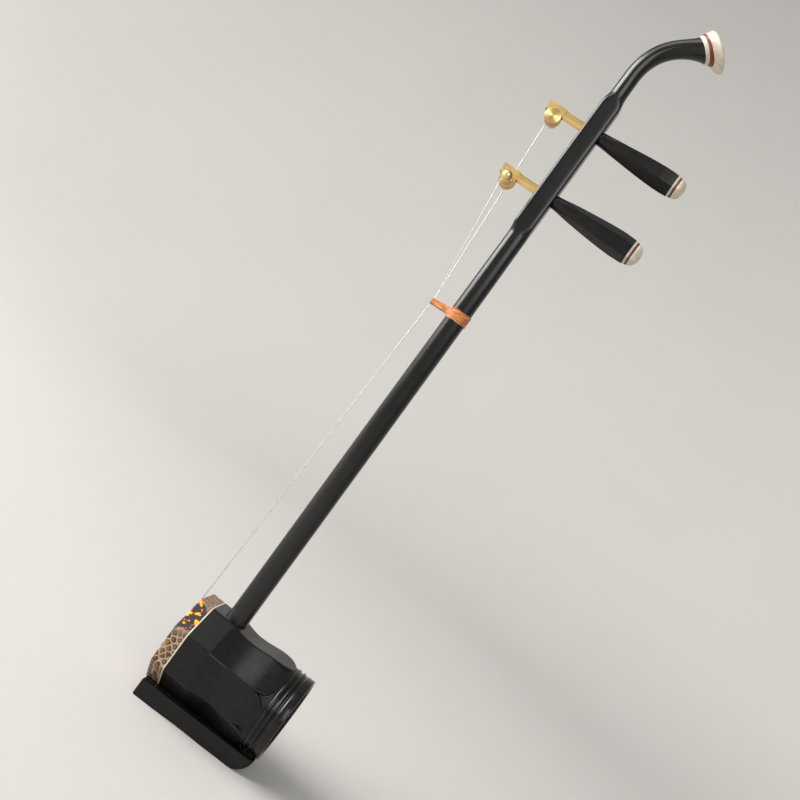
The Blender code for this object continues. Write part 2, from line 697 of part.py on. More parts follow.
def make_spool(name, finishes, axis):
    """Axle, barrel, flange and ball knob in one turned piece; local Z points to the spool's side."""
    flange = HOUSING_HALF + GAP
    start = math.radians(40)
    barrel_end = BALL_X - BALL_RADIUS * math.cos(start) - 0.2 * MM
    profile = [
        (-HOUSING_HALF, AXLE_RADIUS),
        (flange, AXLE_RADIUS),
        (flange, 5.4 * MM),
        (flange + 0.6 * MM, 5.4 * MM),
        (flange + 0.6 * MM, BARREL_RADIUS),
        (barrel_end, BARREL_RADIUS),
    ]
    steps = 7
    for step in range(steps + 1):
        angle = start + (math.radians(172) - start) * step / steps
        profile.append((BALL_X - BALL_RADIUS * math.cos(angle), BALL_RADIUS * math.sin(angle)))
    turned(name + "_spool", profile, 16, finishes["brass"], axis)
    low, high = flange + 0.9 * MM, barrel_end - GAP
    inner = BARREL_RADIUS + GAP
    profile = [(low, inner), (low, WINDING_RADIUS), (high, WINDING_RADIUS), (high, inner)]
    turned_ring(name + "_string_winding", profile, 16, finishes["steel"], axis)


def housing_outline():
    """(y, z) points about the peg's axis: a square block with a round lobe below it."""
    top = SLEEVE_RADIUS
    points = [(HOUSING_TIP, top), (HOUSING_TIP, -SLEEVE_RADIUS)]
    shoulder = math.asin((SPOOL_DROP - SLEEVE_RADIUS) / LOBE_RADIUS)
    steps = 12
    for step in range(steps + 1):
        angle = math.pi - shoulder + (math.pi + 2 * shoulder) * step / steps
        y = SPOOL_Y + LOBE_RADIUS * math.cos(angle)
        points.append((y, LOBE_RADIUS * math.sin(angle) - SPOOL_DROP))
    points += [(HOUSING_BACK + 0.9 * MM, -2 * MM), (HOUSING_BACK + 0.9 * MM, top)]
    return points


def make_housing(name, side, height, finishes, parent):
    """The fixed brass body of one peg: sleeve through the neck, gear block and cover disc."""
    turn = (-math.pi / 2, 0, 0)
    place = empty(name + "_housing_place", parent, (0, 0, height))
    brass = finishes["brass"]
    half = HOUSING_HALF
    housing = prism(name + "_gear_housing", housing_outline(), -half, half, brass, place, "X", True)
    radius = SLEEVE_RADIUS - 0.02 * MM  # a little under the block's half height, so no faces coincide
    ends = [(HOUSING_BACK - 3 * MM, radius), (PEG_FACE_BACK - 0.5 * MM, radius)]
    sleeve = turned(name + "_sleeve", ends, 20, None, place)
    sleeve.rotation_euler = turn
    modify(housing, sleeve, "UNION")
    ends = (-60 * MM, 30 * MM)
    bore = cylinder_cutter(name + "_sleeve_bore", SLEEVE_BORE, *ends, place, 16, (0, 0, 0), turn)
    modify(housing, bore, "DIFFERENCE")
    across = (0, math.pi / 2, 0)
    centre = (0, SPOOL_Y, -SPOOL_DROP)
    room = WHEEL_PITCH + 0.9 * MM
    slot = WHEEL_HALF + 0.6 * MM
    cavity = cylinder_cutter(name + "_cavity", room, -slot, slot, place, 20, centre, across)
    modify(housing, cavity, "DIFFERENCE")
    ends = (-9 * MM, 9 * MM)
    hole = cylinder_cutter(name + "_axle_hole", AXLE_RADIUS + GAP, *ends, place, 16, centre, across)
    modify(housing, hole, "DIFFERENCE")
    disc_axis = empty(name + "_cover_axis", place, centre, (0, -side * math.pi / 2, 0))
    low = HOUSING_HALF + GAP
    profile = [
        (low, DISC_RADIUS),
        (low + 0.55 * MM, DISC_RADIUS),
        (low + 0.8 * MM, DISC_RADIUS - 0.4 * MM),
    ]
    cover = turned(name + "_cover_disc", profile, 20, brass, disc_axis)
    seat = cylinder_cutter(name + "_cover_seat", AXLE_RADIUS + GAP, 0, low + 0.4 * MM, disc_axis, 12)
    modify(cover, seat, "DIFFERENCE")


def make_peg(name, height, side, length, turn, finishes, parent):
    """One geared peg; side is +1 where its spool is at +X."""
    peg_axis = empty(name + "_peg_axis", parent, (0, 0, height), (-math.pi / 2, 0, 0))
    make_handle(name, length, turn, finishes, peg_axis)
    make_worm_shaft(name, finishes["steel"], peg_axis)
    place = (0, SPOOL_Y, height - SPOOL_DROP)
    spool_axis = empty(name + "_spool_axis", parent, place, (0, side * math.pi / 2, 0))
    wheel_axis = empty(name + "_wheel_axis", parent, place, (0, math.pi / 2, 0))
    make_wheel(name, finishes["brass"], wheel_axis)
    make_spool(name, finishes, spool_axis)
    make_housing(name, side, height, finishes, parent)


# Strings, qianjin, bridge and anchor


def make_qianjin(finishes, parent):
    """The thread wrap round the neck and the loop that draws the strings in. Both are tied tight."""
    half = QIANJIN_HEIGHT / 2
    rings = []
    for grow, height in ((1.5, -half), (1.5, half), (0.3, half), (0.3, -half)):
        centre = Vector((0, 0, QIANJIN_Z + height))
        rings.append(section(centre, 0, 10.3 * MM + grow * MM, 9.1 * MM + grow * MM, 2.4, 24))
    loft("qianjin_wrap", rings, finishes["thread"], parent, closed=True)
    low, high = STRING_Y_AT_QIANJIN, -12.1 * MM
    bands = []
    for across, reach in ((2.1 * MM, 0), (3.2 * MM, 1.1 * MM)):
        outline = []
        for step in range(7):
            angle = math.pi + math.pi * step / 6
            outline.append((across * math.cos(angle), low + across * math.sin(angle)))
        outline += [(across, high - 1.4 * MM + reach), (-across, high - 1.4 * MM + reach)]
        bands.append(outline)
    inner, outer = bands
    mesh_data = bmesh.new()
    loops = []
    for outline, height in ((outer, -1), (outer, 1), (inner, 1), (inner, -1)):
        z = QIANJIN_Z + height * LOOP_HEIGHT / 2
        loops.append([mesh_data.verts.new((x, y, z)) for x, y in outline])
    for first, second in zip(loops, loops[1:] + loops[:1]):
        bridge_rings(mesh_data, first, second)
    finish_mesh("qianjin_loop", mesh_data, finishes["thread"], parent)


def string_route(side, peg_height, hook_y):
    """Points of one string from its spool, through the qianjin and over the bridge, to the anchor pin."""
    spool_x = side * STRING_X_AT_SPOOL
    start_y = SPOOL_Y - WINDING_RADIUS - GAP - INNER_STRING - 0.1 * MM
    string_z = peg_height - SPOOL_DROP
    bridge_y = SKIN_FRONT - BRIDGE_HEIGHT - GAP - INNER_STRING
    return [
        (spool_x, start_y, string_z),
        (side * 1.4 * MM, STRING_Y_AT_QIANJIN, QIANJIN_Z + 3.5 * MM),
        (side * 1.3 * MM, STRING_Y_AT_QIANJIN, QIANJIN_Z - 3.5 * MM),
        (side * 2.0 * MM, bridge_y, BOX_Z + BRIDGE_DEPTH / 2),
        (side * 2.0 * MM, bridge_y, BOX_Z - BRIDGE_DEPTH / 2),
        (side * 2.0 * MM, SKIN_FRONT - 1.2 * MM, BOX_Z - BOX_APOTHEM + 1.0 * MM),
        (side * 2.0 * MM, SKIN_FRONT + 0.2 * MM, BOX_Z - BOX_APOTHEM - 1.4 * MM),
        (side * 3.4 * MM, PIN_HEAD_Y - 2.0 * MM, PIN_Z + 0.5 * MM),
        (side * 3.2 * MM, PIN_HEAD_Y + 0.3 * MM, PIN_Z + 0.2 * MM),
        (side * HOOK_RADIUS, hook_y, PIN_Z),
    ]


def make_string(name, route, radius, finish, parent):
    """A taut string as a thin tube, ending in a loop round the anchor pin."""
    points = [Vector(point) for point in route]
    hook = points[-1].copy()
    for step in range(1, 5):
        angle = math.radians(32) * step
        points.append(Vector((hook.x * math.cos(angle), hook.y, PIN_Z - HOOK_RADIUS * math.sin(angle))))
    curve = bpy.data.curves.new(name, "CURVE")
    curve.dimensions = "3D"
    curve.bevel_depth = radius
    curve.bevel_resolution = 1
    curve.use_fill_caps = True
    spline = curve.splines.new("POLY")
    spline.points.add(len(points) - 1)
    for slot, point in zip(spline.points, points):
        slot.co = (*point, 1)
    string = bpy.data.objects.new(name, curve)
    bpy.context.scene.collection.objects.link(string)
    string.parent = parent
    curve.materials.append(finish)


def make_strings(finishes, parent):
    inner = string_route(-1, UPPER_PEG_Z, -10.6 * MM)
    make_string("inner_string", inner, INNER_STRING, finishes["steel"], parent)
    outer = string_route(1, LOWER_PEG_Z, -12.6 * MM)
    make_string("outer_string", outer, OUTER_STRING, finishes["steel"], parent)


def make_bridge(finishes, parent):
    """A low arched bridge with two feet on the skin, and the felt pad between skin and strings."""
    seat = SKIN_FRONT - GAP
    top = seat - BRIDGE_HEIGHT + GAP
    foot = 5.0 * MM
    outline = [
        (-BRIDGE_HALF, seat),
        (-BRIDGE_HALF, seat - 1.0 * MM),
        (-3.6 * MM, top),
        (3.6 * MM, top),
        (BRIDGE_HALF, seat - 1.0 * MM),
        (BRIDGE_HALF, seat),
        (foot, seat),
        (foot * 0.6, seat - 1.2 * MM),
        (-foot * 0.6, seat - 1.2 * MM),
        (-foot, seat),
    ]
    low, high = BOX_Z - BRIDGE_DEPTH / 2, BOX_Z + BRIDGE_DEPTH / 2
    prism("bridge", outline, low, high, finishes["maple"], parent)
    pad = [(-7 * MM, seat), (-7 * MM, seat - 1.9 * MM), (7 * MM, seat - 1.9 * MM), (7 * MM, seat)]
    prism("damper_pad", pad, PAD_Z - 3 * MM, PAD_Z + 3 * MM, finishes["felt"], parent)


def make_anchor_pin(finishes, parent):
    """The brass pin in front of the neck's tail that both strings hook on."""
    axis = empty("pin_axis", parent, (0, 0, PIN_Z), (-math.pi / 2, 0, 0))
    tail = -TENON_HALF - GAP
    profile = [
        (-17.2 * MM, 2.0 * MM),
        (-16.6 * MM, 2.6 * MM),
        (PIN_HEAD_Y, 2.6 * MM),
        (PIN_HEAD_Y, PIN_RADIUS),
        (tail, PIN_RADIUS),
    ]
    turned("string_anchor_pin", profile, 12, finishes["brass"], axis)


def main():
    clear_scene()
    finishes = make_materials()
    frame = empty("erhu_frame", None, (0, NECK_Y, 0))
    make_base(finishes, frame)
    make_sound_box(finishes, frame)
    make_skin(finishes, frame)
    make_neck(finishes, frame)
    make_head_cap(finishes, frame)
    make_peg("upper", UPPER_PEG_Z, -1, UPPER_HANDLE, UPPER_HANDLE_TURN, finishes, frame)
    make_peg("lower", LOWER_PEG_Z, 1, LOWER_HANDLE, LOWER_HANDLE_TURN, finishes, frame)
    make_qianjin(finishes, frame)
    make_bridge(finishes, frame)
    make_anchor_pin(finishes, frame)
    make_strings(finishes, frame)


main()
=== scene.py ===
"""The looks of the erhu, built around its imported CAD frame.

Shapes are made in metres about the neck's axis, and piece() moves them to the frame's origin.
"""
import json
from math import asin, atan2, cos, degrees, hypot, pi, radians, sin, sqrt, tan

import bmesh
import bpy
import numpy as np
from mathutils import Matrix, Vector


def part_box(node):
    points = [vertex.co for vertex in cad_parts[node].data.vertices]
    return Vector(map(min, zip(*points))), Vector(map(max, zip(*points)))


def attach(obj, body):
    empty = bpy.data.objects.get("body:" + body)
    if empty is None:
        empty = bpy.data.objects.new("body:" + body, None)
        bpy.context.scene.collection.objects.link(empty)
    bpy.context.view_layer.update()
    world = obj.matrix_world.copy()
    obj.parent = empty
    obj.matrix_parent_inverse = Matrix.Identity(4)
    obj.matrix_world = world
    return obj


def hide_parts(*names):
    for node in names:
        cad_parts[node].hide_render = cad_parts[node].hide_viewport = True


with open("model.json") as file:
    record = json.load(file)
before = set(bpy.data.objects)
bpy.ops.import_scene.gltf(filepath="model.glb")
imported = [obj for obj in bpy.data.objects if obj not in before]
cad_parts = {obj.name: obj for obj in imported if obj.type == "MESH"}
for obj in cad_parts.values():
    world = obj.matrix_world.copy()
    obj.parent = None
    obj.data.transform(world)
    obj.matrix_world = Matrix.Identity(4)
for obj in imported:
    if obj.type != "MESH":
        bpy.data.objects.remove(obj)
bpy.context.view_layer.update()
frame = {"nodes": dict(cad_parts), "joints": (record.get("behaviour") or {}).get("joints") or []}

MM = 0.001

# Places taken from the frame
SIDES = ("upper", "lower")
JOINTS = {joint["name"]: joint for joint in frame["joints"]}
NECK_Y = JOINTS["upper_peg_turn"]["pos_m"][1]
PEG_Z = {side: JOINTS[side + "_peg_turn"]["pos_m"][2] for side in SIDES}
SPOOL_Y = JOINTS["upper_spool_turn"]["pos_m"][1] - NECK_Y
SPOOL_DROP = PEG_Z["upper"] - JOINTS["upper_spool_turn"]["pos_m"][2]
SPOOL_SIDE = {"upper": -1, "lower": 1}


def node_box(node):
    """Lowest and highest corners of a CAD node, about the neck's axis."""
    low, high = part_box(node)
    shift = Vector((0, NECK_Y, 0))
    return low - shift, high - shift


face_low, face_high = node_box("python_skin_face")
BOX_Z = (face_low.z + face_high.z) / 2
BOX_APOTHEM = (face_high.z - face_low.z) / 2
SKIN_FRONT = face_low.y
SKIN_MARGIN_END = node_box("python_skin_margin")[1].y
SKIN_THICKNESS = 0.5 * MM
FACETS = 8
FACET_TURN = 2 * pi / FACETS
FACET_HALF = pi / FACETS


# Meshes


def add(name, data, finish=None, nodes=(), body="frame"):
    """An object in the scene. With a finish it is a visible piece that rides on a body."""
    obj = bpy.data.objects.new(name, data)
    bpy.context.scene.collection.objects.link(obj)
    if finish is not None:
        material, slot = FINISHES[finish]
        data.materials.append(material)
        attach(obj, body)
    if nodes:
        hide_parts(*nodes)
    return obj


def closed_mesh(name, shape):
    """A mesh of points about the neck's axis, moved into place, with its faces turned out."""
    points, faces = shape
    mesh = bpy.data.meshes.new(name)
    mesh.from_pydata([tuple(point) for point in points], [], faces)
    made = bmesh.new()
    made.from_mesh(mesh)
    bmesh.ops.recalc_face_normals(made, faces=made.faces)
    made.to_mesh(mesh)
    made.free()
    mesh.transform(Matrix.Translation((0, NECK_Y, 0)))
    return mesh


def piece(name, shape, finish, nodes, body="frame", sharp=None):
    """A smooth visible piece. Edges steeper than the sharp angle, in degrees, stay sharp."""
    mesh = closed_mesh(name, shape)
    mesh.shade_smooth()
    if sharp is not None:
        mesh.set_sharp_from_angle(angle=radians(sharp))
    return add(name, mesh, finish, nodes, body)


def tube(rows, capped=True):
    """Points and faces of a tube through rows of points, each a closed loop. Uncapped, its ends meet."""
    points = [point for row in rows for point in row]
    count = len(rows[0])
    faces = []
    for i in range(len(rows) - 1 if capped else len(rows)):
        here, there = i * count, (i + 1) % len(rows) * count
        for j in range(count):
            k = (j + 1) % count
            faces.append((here + j, here + k, there + k, there + j))
    if capped:
        faces.append(tuple(range(count)))
        faces.append(tuple(range((len(rows) - 1) * count, len(rows) * count)))
    return points, faces


def lathe(profile, sides, origin, direction, ring=False):
    """Points and faces turned about an axis from (along, radius) pairs. A ring's profile is closed."""
    axis = Vector(direction).normalized()
    across = axis.orthogonal().normalized()
    other = axis.cross(across)
    spokes = [across * cos(2 * pi * i / sides) + other * sin(2 * pi * i / sides) for i in range(sides)]
    start = Vector(origin)
    grid = [[start + axis * along + spoke * radius for spoke in spokes] for along, radius in profile]
    return tube([list(row) for row in zip(*grid)], capped=False) if ring else tube(grid)


def rod(start, end, radius, sides, origin, direction):
    """A plain cylinder along a direction, between two distances from the origin."""
    return lathe([(start, radius), (end, radius)], sides, origin, direction)


def prism(outline, low, high, axis):
    """Points and faces of an outline of pairs drawn out along X (y, z), Y (x, z) or Z (x, y)."""
    place = {
        "X": lambda a, b, c: Vector((c, a, b)),
        "Y": lambda a, b, c: Vector((a, c, b)),
        "Z": lambda a, b, c: Vector((a, b, c)),
    }[axis]
    return tube([[place(a, b, c) for a, b in outline] for c in (low, high)])


def arc(centre, radius, start, end, steps):
    """Points of an arc between two angles in degrees."""
    angles = [radians(start + (end - start) * i / steps) for i in range(steps + 1)]
    return [(centre[0] + radius * cos(a), centre[1] + radius * sin(a)) for a in angles]


def combine(obj, operation, *shapes):
    """Joins shapes to a piece or cuts them from it, and applies the result."""
    cutters = [add(f"{obj.name}_cutter", closed_mesh(f"{obj.name}_cutter", shape)) for shape in shapes]
    for cutter in cutters:
        modifier = obj.modifiers.new("cut", "BOOLEAN")
        modifier.operation = operation
        modifier.solver = "EXACT"
        modifier.object = cutter
    bpy.context.view_layer.update()
    graph = bpy.context.evaluated_depsgraph_get()
    old = obj.data
    name = old.name
    obj.data = bpy.data.meshes.new_from_object(obj.evaluated_get(graph))
    obj.modifiers.clear()
    bpy.data.meshes.remove(old)
    obj.data.name = name
    for cutter in cutters:
        bpy.data.meshes.remove(cutter.data)


def soften(obj, width, segments=2, angle=32):
    """Rounds a piece's edges."""
    bevel = obj.modifiers.new("edges", "BEVEL")
    bevel.width = width
    bevel.segments = segments
    bevel.limit_method = "ANGLE"
    bevel.angle_limit = radians(angle)
    bevel.harden_normals = True
    return obj


def wire(name, points, radius, finish, nodes, body="frame", sides=2):
    """A round wire along points about the neck's axis."""
    curve = bpy.data.curves.new(name, "CURVE")
    curve.dimensions = "3D"
    curve.bevel_depth = radius
    curve.bevel_resolution = sides
    curve.use_fill_caps = True
    spline = curve.splines.new("POLY")
    spline.points.add(len(points) - 1)
    for target, (x, y, z) in zip(spline.points, points):
        target.co = (x, y + NECK_Y, z, 1)
    return add(name, curve, finish, nodes, body)


# Materials


class Finish:
    """A node material with short helpers."""

    def __init__(self, name, **sockets):
        self.material = bpy.data.materials.new(name)
        self.material.use_nodes = True
        self.tree = self.material.node_tree
        self.shader = self.tree.nodes["Principled BSDF"]
        for socket, value in sockets.items():
            self.shader.inputs[socket.replace("_", " ")].default_value = value

    def node(self, kind, links=(), **settings):
        made = self.tree.nodes.new("ShaderNode" + kind)
        for key, value in settings.items():
            if hasattr(made, key):
                setattr(made, key, value)
            else:
                made.inputs[key.replace("_", " ")].default_value = value
        for socket, source in dict(links).items():
            self.tree.links.new(source, made.inputs[socket])
        return made

    def feed(self, socket, value):
        """Gives a socket a number, a colour or another node's output."""
        if isinstance(value, tuple):
            socket.default_value = (*value, 1)
        elif isinstance(value, (int, float)):
            socket.default_value = value
        else:
            self.tree.links.new(value, socket)

    def math(self, operation, first, second=0.0):
        made = self.node("Math", operation=operation)
        for socket, value in zip(made.inputs, (first, second)):
            self.feed(socket, value)
        return made.outputs[0]

    def ramp(self, source, stops):
        """A colour ramp from (position, colour) stops."""
        made = self.node("ValToRGB", {"Fac": source})
        elements = made.color_ramp.elements
        while len(elements) < len(stops):
            elements.new(0.5)
        for element, (position, colour) in zip(elements, stops):
            element.position = position
            element.color = (*colour, 1)
        return made.outputs["Color"]

    def mix(self, factor, first, second):
        made = self.node("Mix", data_type="RGBA")
        for i, value in zip((0, 6, 7), (factor, first, second)):
            self.feed(made.inputs[i], value)
        return made.outputs[2]

    def place(self, scale=(1, 1, 1), rotation=(0, 0, 0)):
        """Object coordinates in millimetres, stretched."""
        where = self.node("TexCoord").outputs["Object"]
        stretch = tuple(1000 * s for s in scale)
        return self.node("Mapping", {"Vector": where}, Scale=stretch, Rotation=rotation).outputs[0]

    def noise(self, where, scale, detail=3.0, roughness=0.5):
        made = self.node("TexNoise", {"Vector": where}, Scale=scale, Detail=detail, Roughness=roughness)
        return made.outputs["Fac"]

    def span(self, source, low, high, to_low, to_high):
        made = self.node("MapRange", {"Value": source})
        for socket, value in zip(("From Min", "From Max", "To Min", "To Max"), (low, high, to_low, to_high)):
            made.inputs[socket].default_value = value
        return made.outputs[0]

    def colour(self, source):
        self.feed(self.shader.inputs["Base Color"], source)

    def fade(self, source, first, second, low=0.3, high=0.7):
        """Colours the surface from one colour to another as the source rises."""
        self.colour(self.ramp(source, [(low, first), (high, second)]))

    def rough(self, source, smooth, dull, low=0.3, high=0.7):
        """Makes the surface duller as the source rises."""
        self.feed(self.shader.inputs["Roughness"], self.span(source, low, high, smooth, dull))

    def bump(self, height, distance, strength=1.0):
        made = self.node("Bump", {"Height": height}, Strength=strength, Distance=distance)
        self.feed(self.shader.inputs["Normal"], made.outputs[0])


def black_wood(name, along, gloss=0.25, roughness=(0.22, 0.32)):
    """Oiled ebony: fine grain drawn out along an axis, with faint brown streaks and a satin polish."""
    finish = Finish(name, IOR=1.5, Specular_IOR_Level=gloss)
    stretch = tuple(0.05 if axis == along else 1.0 for axis in "XYZ")
    grain = finish.noise(finish.place(stretch), 0.9, 6.0, 0.6)
    streaks = finish.noise(finish.place(tuple(0.35 * s for s in stretch)), 0.5, 2.0)
    dark = finish.ramp(grain, [(0.3, (0.0040, 0.0041, 0.0037)), (0.65, (0.0080, 0.0080, 0.0071))])
    brown = finish.ramp(grain, [(0.3, (0.0068, 0.0052, 0.0042)), (0.65, (0.0140, 0.0102, 0.0078))])
    finish.colour(finish.mix(finish.span(streaks, 0.52, 0.75, 0, 0.6), dark, brown))
    smudges = finish.noise(finish.place((0.05, 0.05, 0.05)), 1.0, 4.0)
    finish.rough(smudges, *roughness)
    pores = finish.noise(finish.place(tuple(2.0 * s for s in stretch)), 1.2, 3.0)
    finish.bump(pores, 0.006 * MM, 0.5)
    return finish.material


def bone():
    """Polished bone: cream with faint cloudy grain."""
    finish = Finish("polished_bone", IOR=1.54, Subsurface_Weight=0.15, Subsurface_Scale=0.002)
    finish.shader.inputs["Subsurface Radius"].default_value = (1.0, 0.6, 0.3)
    clouds = finish.noise(finish.place((0.3, 0.1, 0.3)), 0.8, 5.0)
    finish.fade(clouds, (0.44, 0.395, 0.285), (0.58, 0.545, 0.435))
    finish.rough(clouds, 0.26, 0.40)
    finish.bump(finish.noise(finish.place(), 0.9, 4.0), 0.04 * MM, 0.4)
    return finish.material


def red_inlay():
    """Dark red ring with a cloudy polish."""
    finish = Finish("red_inlay", IOR=1.5)
    clouds = finish.noise(finish.place((0.5, 0.5, 0.5)), 1.2, 4.0)
    finish.fade(clouds, (0.11, 0.012, 0.006), (0.21, 0.030, 0.015), high=0.75)
    finish.rough(clouds, 0.28, 0.42)
    return finish.material


def brass(name, painted_light_tone=0.62, turned=None, roughness=(0.38, 0.46)):
    """Polished brass. Turned faces get fine tool marks and a streak that follows them. The tone scales the
    colour per part as painted light and shade, so some brass parts are darker and others brighter.
    """
    finish = Finish(name, Metallic=1.0)
    marks = finish.noise(finish.place((0.12, 0.12, 0.12)), 1.0, 4.0)
    low, high = (tuple(painted_light_tone * c for c in colour) for colour in ((0.80, 0.54, 0.20), (0.88, 0.63, 0.27)))
    finish.fade(marks, low, high)
    finish.rough(marks, *roughness)
    if turned is not None:
        finish.shader.inputs["Anisotropic"].default_value = 0.8
        finish.shader.inputs["Anisotropic Rotation"].default_value = 0.25 if turned == "X" else 0.0
        tangent = finish.node("Tangent", direction_type="RADIAL", axis=turned)
        finish.feed(finish.shader.inputs["Tangent"], tangent.outputs[0])
    finish.bump(finish.noise(finish.place(), 2.5, 2.0), 0.001 * MM, 0.3)
    return finish.material


def steel(name, colour=(0.72, 0.72, 0.71), roughness=0.3, winding=None):
    """Bright wire. A wound string shows its winding as fine rings along its length."""
    finish = Finish(name, Metallic=0.9)
    marks = finish.noise(finish.place(), 0.8, 3.0)
    low = tuple(0.85 * c for c in colour)
    finish.fade(marks, low, colour)
    finish.rough(marks, roughness - 0.05, roughness + 0.08)
    if winding is not None:
        where = finish.node("SeparateXYZ", {"Vector": finish.place()}).outputs["Z"]
        ring = finish.math("SINE", finish.math("MULTIPLY", where, 2 * pi / winding))
        finish.bump(ring, 0.04 * MM, 0.6)
    return finish.material


def thread():
    """Wound orange-brown thread with a twist."""
    finish = Finish("qianjin_thread", Sheen_Weight=0.25, IOR=1.45)
    fibres = finish.noise(finish.place((0.10, 0.10, 0.85)), 1.0, 5.0, 0.65)
    finish.colour(finish.ramp(fibres, [
        (0.34, (0.19, 0.042, 0.010)),
        (0.5, (0.50, 0.165, 0.038)),
        (0.66, (0.82, 0.39, 0.14)),
    ]))
    finish.rough(fibres, 0.45, 0.7, 0.2, 0.8)
    finish.bump(finish.noise(finish.place(), 3.0, 3.0), 0.08 * MM, 0.6)
    return finish.material


def maple():
    """Plain maple with growth rings."""
    finish = Finish("bridge_maple", IOR=1.5)
    rings = finish.noise(finish.place((0.2, 1.5, 1.5)), 1.0, 5.0)
    finish.fade(rings, (0.42, 0.22, 0.09), (0.66, 0.42, 0.20))
    finish.rough(rings, 0.42, 0.58)
    finish.bump(rings, 0.04 * MM, 0.4)
    return finish.material


def felt():
    """Dark felt with loose fibres."""
    finish = Finish("damper_felt", Sheen_Weight=0.6, Roughness=0.95)
    fibres = finish.noise(finish.place(), 3.0, 8.0, 0.8)
    finish.fade(fibres, (0.020, 0.020, 0.026), (0.075, 0.072, 0.080))
    finish.bump(fibres, 0.3 * MM, 0.9)
    return finish.material


def python_skin():
    """Rows of scales in a cream net, dark saddles with yellow flakes, all in the flat skin's coordinates."""
    finish = Finish("python_skin", IOR=1.48, Roughness=0.5)
    flat = finish.node("Attribute", attribute_name="skin_flat").outputs["Vector"]
    dark = finish.node("Attribute", attribute_name="skin_dark").outputs["Fac"]
    warp = finish.node("TexNoise", {"Vector": flat}, Scale=0.16, Detail=2.0)
    shift = finish.node("VectorMath", {0: warp.outputs["Color"]}, operation="MULTIPLY_ADD")
    shift.inputs[1].default_value = (3.0, 3.0, 0)
    finish.feed(shift.inputs[2], flat)
    turned, squeezed = (0, 0, radians(45)), (1, 0.86, 1)
    rows = finish.node("Mapping", {"Vector": shift.outputs[0]}, Rotation=turned, Scale=squeezed).outputs[0]
    cells = {}
    for feature in ("F1", "DISTANCE_TO_EDGE"):
        made = finish.node("TexVoronoi", {"Vector": rows}, voronoi_dimensions="2D", feature=feature)
        made.inputs["Scale"].default_value = 0.165
        made.inputs["Randomness"].default_value = 0.42
        cells[feature] = made
    edge = cells["DISTANCE_TO_EDGE"].outputs["Distance"]
    pick = finish.node("SeparateColor", {"Color": cells["F1"].outputs["Color"]})
    red, green, blue = (pick.outputs[i] for i in range(3))
    ragged = finish.math("MULTIPLY", finish.math("SUBTRACT", finish.noise(flat, 0.9, 5.0), 0.5), 0.30)
    inside = finish.math("ADD", edge, ragged)
    reach = finish.math("ADD", cells["F1"].outputs["Distance"], ragged)
    scale = finish.span(inside, 0.06, 0.15, 0, 1)
    scale = finish.math("MULTIPLY", scale, finish.span(reach, 0.47, 0.58, 1, 0))
    # Painted shade: each scale is darker on one side and lighter on the other, as if shaded where the next
    # scale overlaps it.
    centres = cells["F1"].outputs["Position"]
    offset = finish.node("VectorMath", {0: rows, 1: centres}, operation="SUBTRACT")
    lean = finish.node("VectorMath", {0: offset.outputs[0]}, operation="DOT_PRODUCT")
    lean.inputs[1].default_value = (0.6, 0.8, 0)
    painted_scale_light = finish.span(lean.outputs["Value"], -1.6, 1.8, 1, 0)
    olive = finish.ramp(red, [
        (0.0, (0.040, 0.017, 0.009)),
        (0.5, (0.095, 0.048, 0.018)),
        (1.0, (0.16, 0.105, 0.034)),
    ])
    centre = finish.span(inside, 0.22, 0.40, 0, 1)
    light = finish.mix(centre, olive, (0.23, 0.155, 0.065))
    light = finish.mix(finish.span(green, 0.2, 0.6, 0, 1), olive, light)
    light = finish.mix(painted_scale_light, (0.045, 0.018, 0.009), light)
    tint = finish.span(finish.noise(flat, 0.12, 3.0), 0.45, 0.7, 0, 0.7)
    net = finish.mix(tint, (0.34, 0.26, 0.17), (0.32, 0.12, 0.058))
    pale = finish.mix(scale, net, light)
    blotch = finish.math("SUBTRACT", finish.noise(flat, 0.17, 2.0, 0.5), finish.math("MULTIPLY", blue, 0.02))
    flake = finish.ramp(blotch, [
        (0.0, (0.010, 0.010, 0.011)),
        (0.52, (0.012, 0.010, 0.010)),
        (0.535, (0.36, 0.030, 0.008)),
        (0.565, (0.60, 0.16, 0.008)),
        (0.60, (0.80, 0.42, 0.012)),
    ])
    black = finish.mix(finish.noise(flat, 1.2, 4.0), (0.008, 0.008, 0.009), (0.026, 0.025, 0.026))
    saddle = finish.mix(finish.span(blotch, 0.50, 0.52, 0, 1), black, flake)
    grey = finish.mix(finish.noise(flat, 0.7, 5.0), (0.060, 0.048, 0.042), (0.26, 0.20, 0.15))
    drift = finish.math("MULTIPLY", finish.math("SUBTRACT", finish.noise(flat, 0.2, 3.0), 0.5), 0.5)
    zone = finish.math("ADD", dark, drift)
    muted = finish.mix(finish.span(zone, 0.20, 0.42, 0, 0.75), pale, grey)
    finish.colour(finish.mix(finish.span(zone, 0.56, 0.64, 0, 1), muted, saddle))
    finish.rough(edge, 0.62, 0.42, 0.0, 0.3)
    finish.bump(finish.span(edge, 0.0, 0.16, 0, 1), 0.12 * MM, 0.8)
    return finish.material


def pale_floor():
    finish = Finish("pale_floor", Roughness=0.9)
    clouds = finish.noise(finish.place((0.002, 0.002, 0.002)), 1.0, 2.0)
    finish.colour(finish.mix(clouds, (0.50, 0.48, 0.45), (0.53, 0.51, 0.48)))
    return finish.material


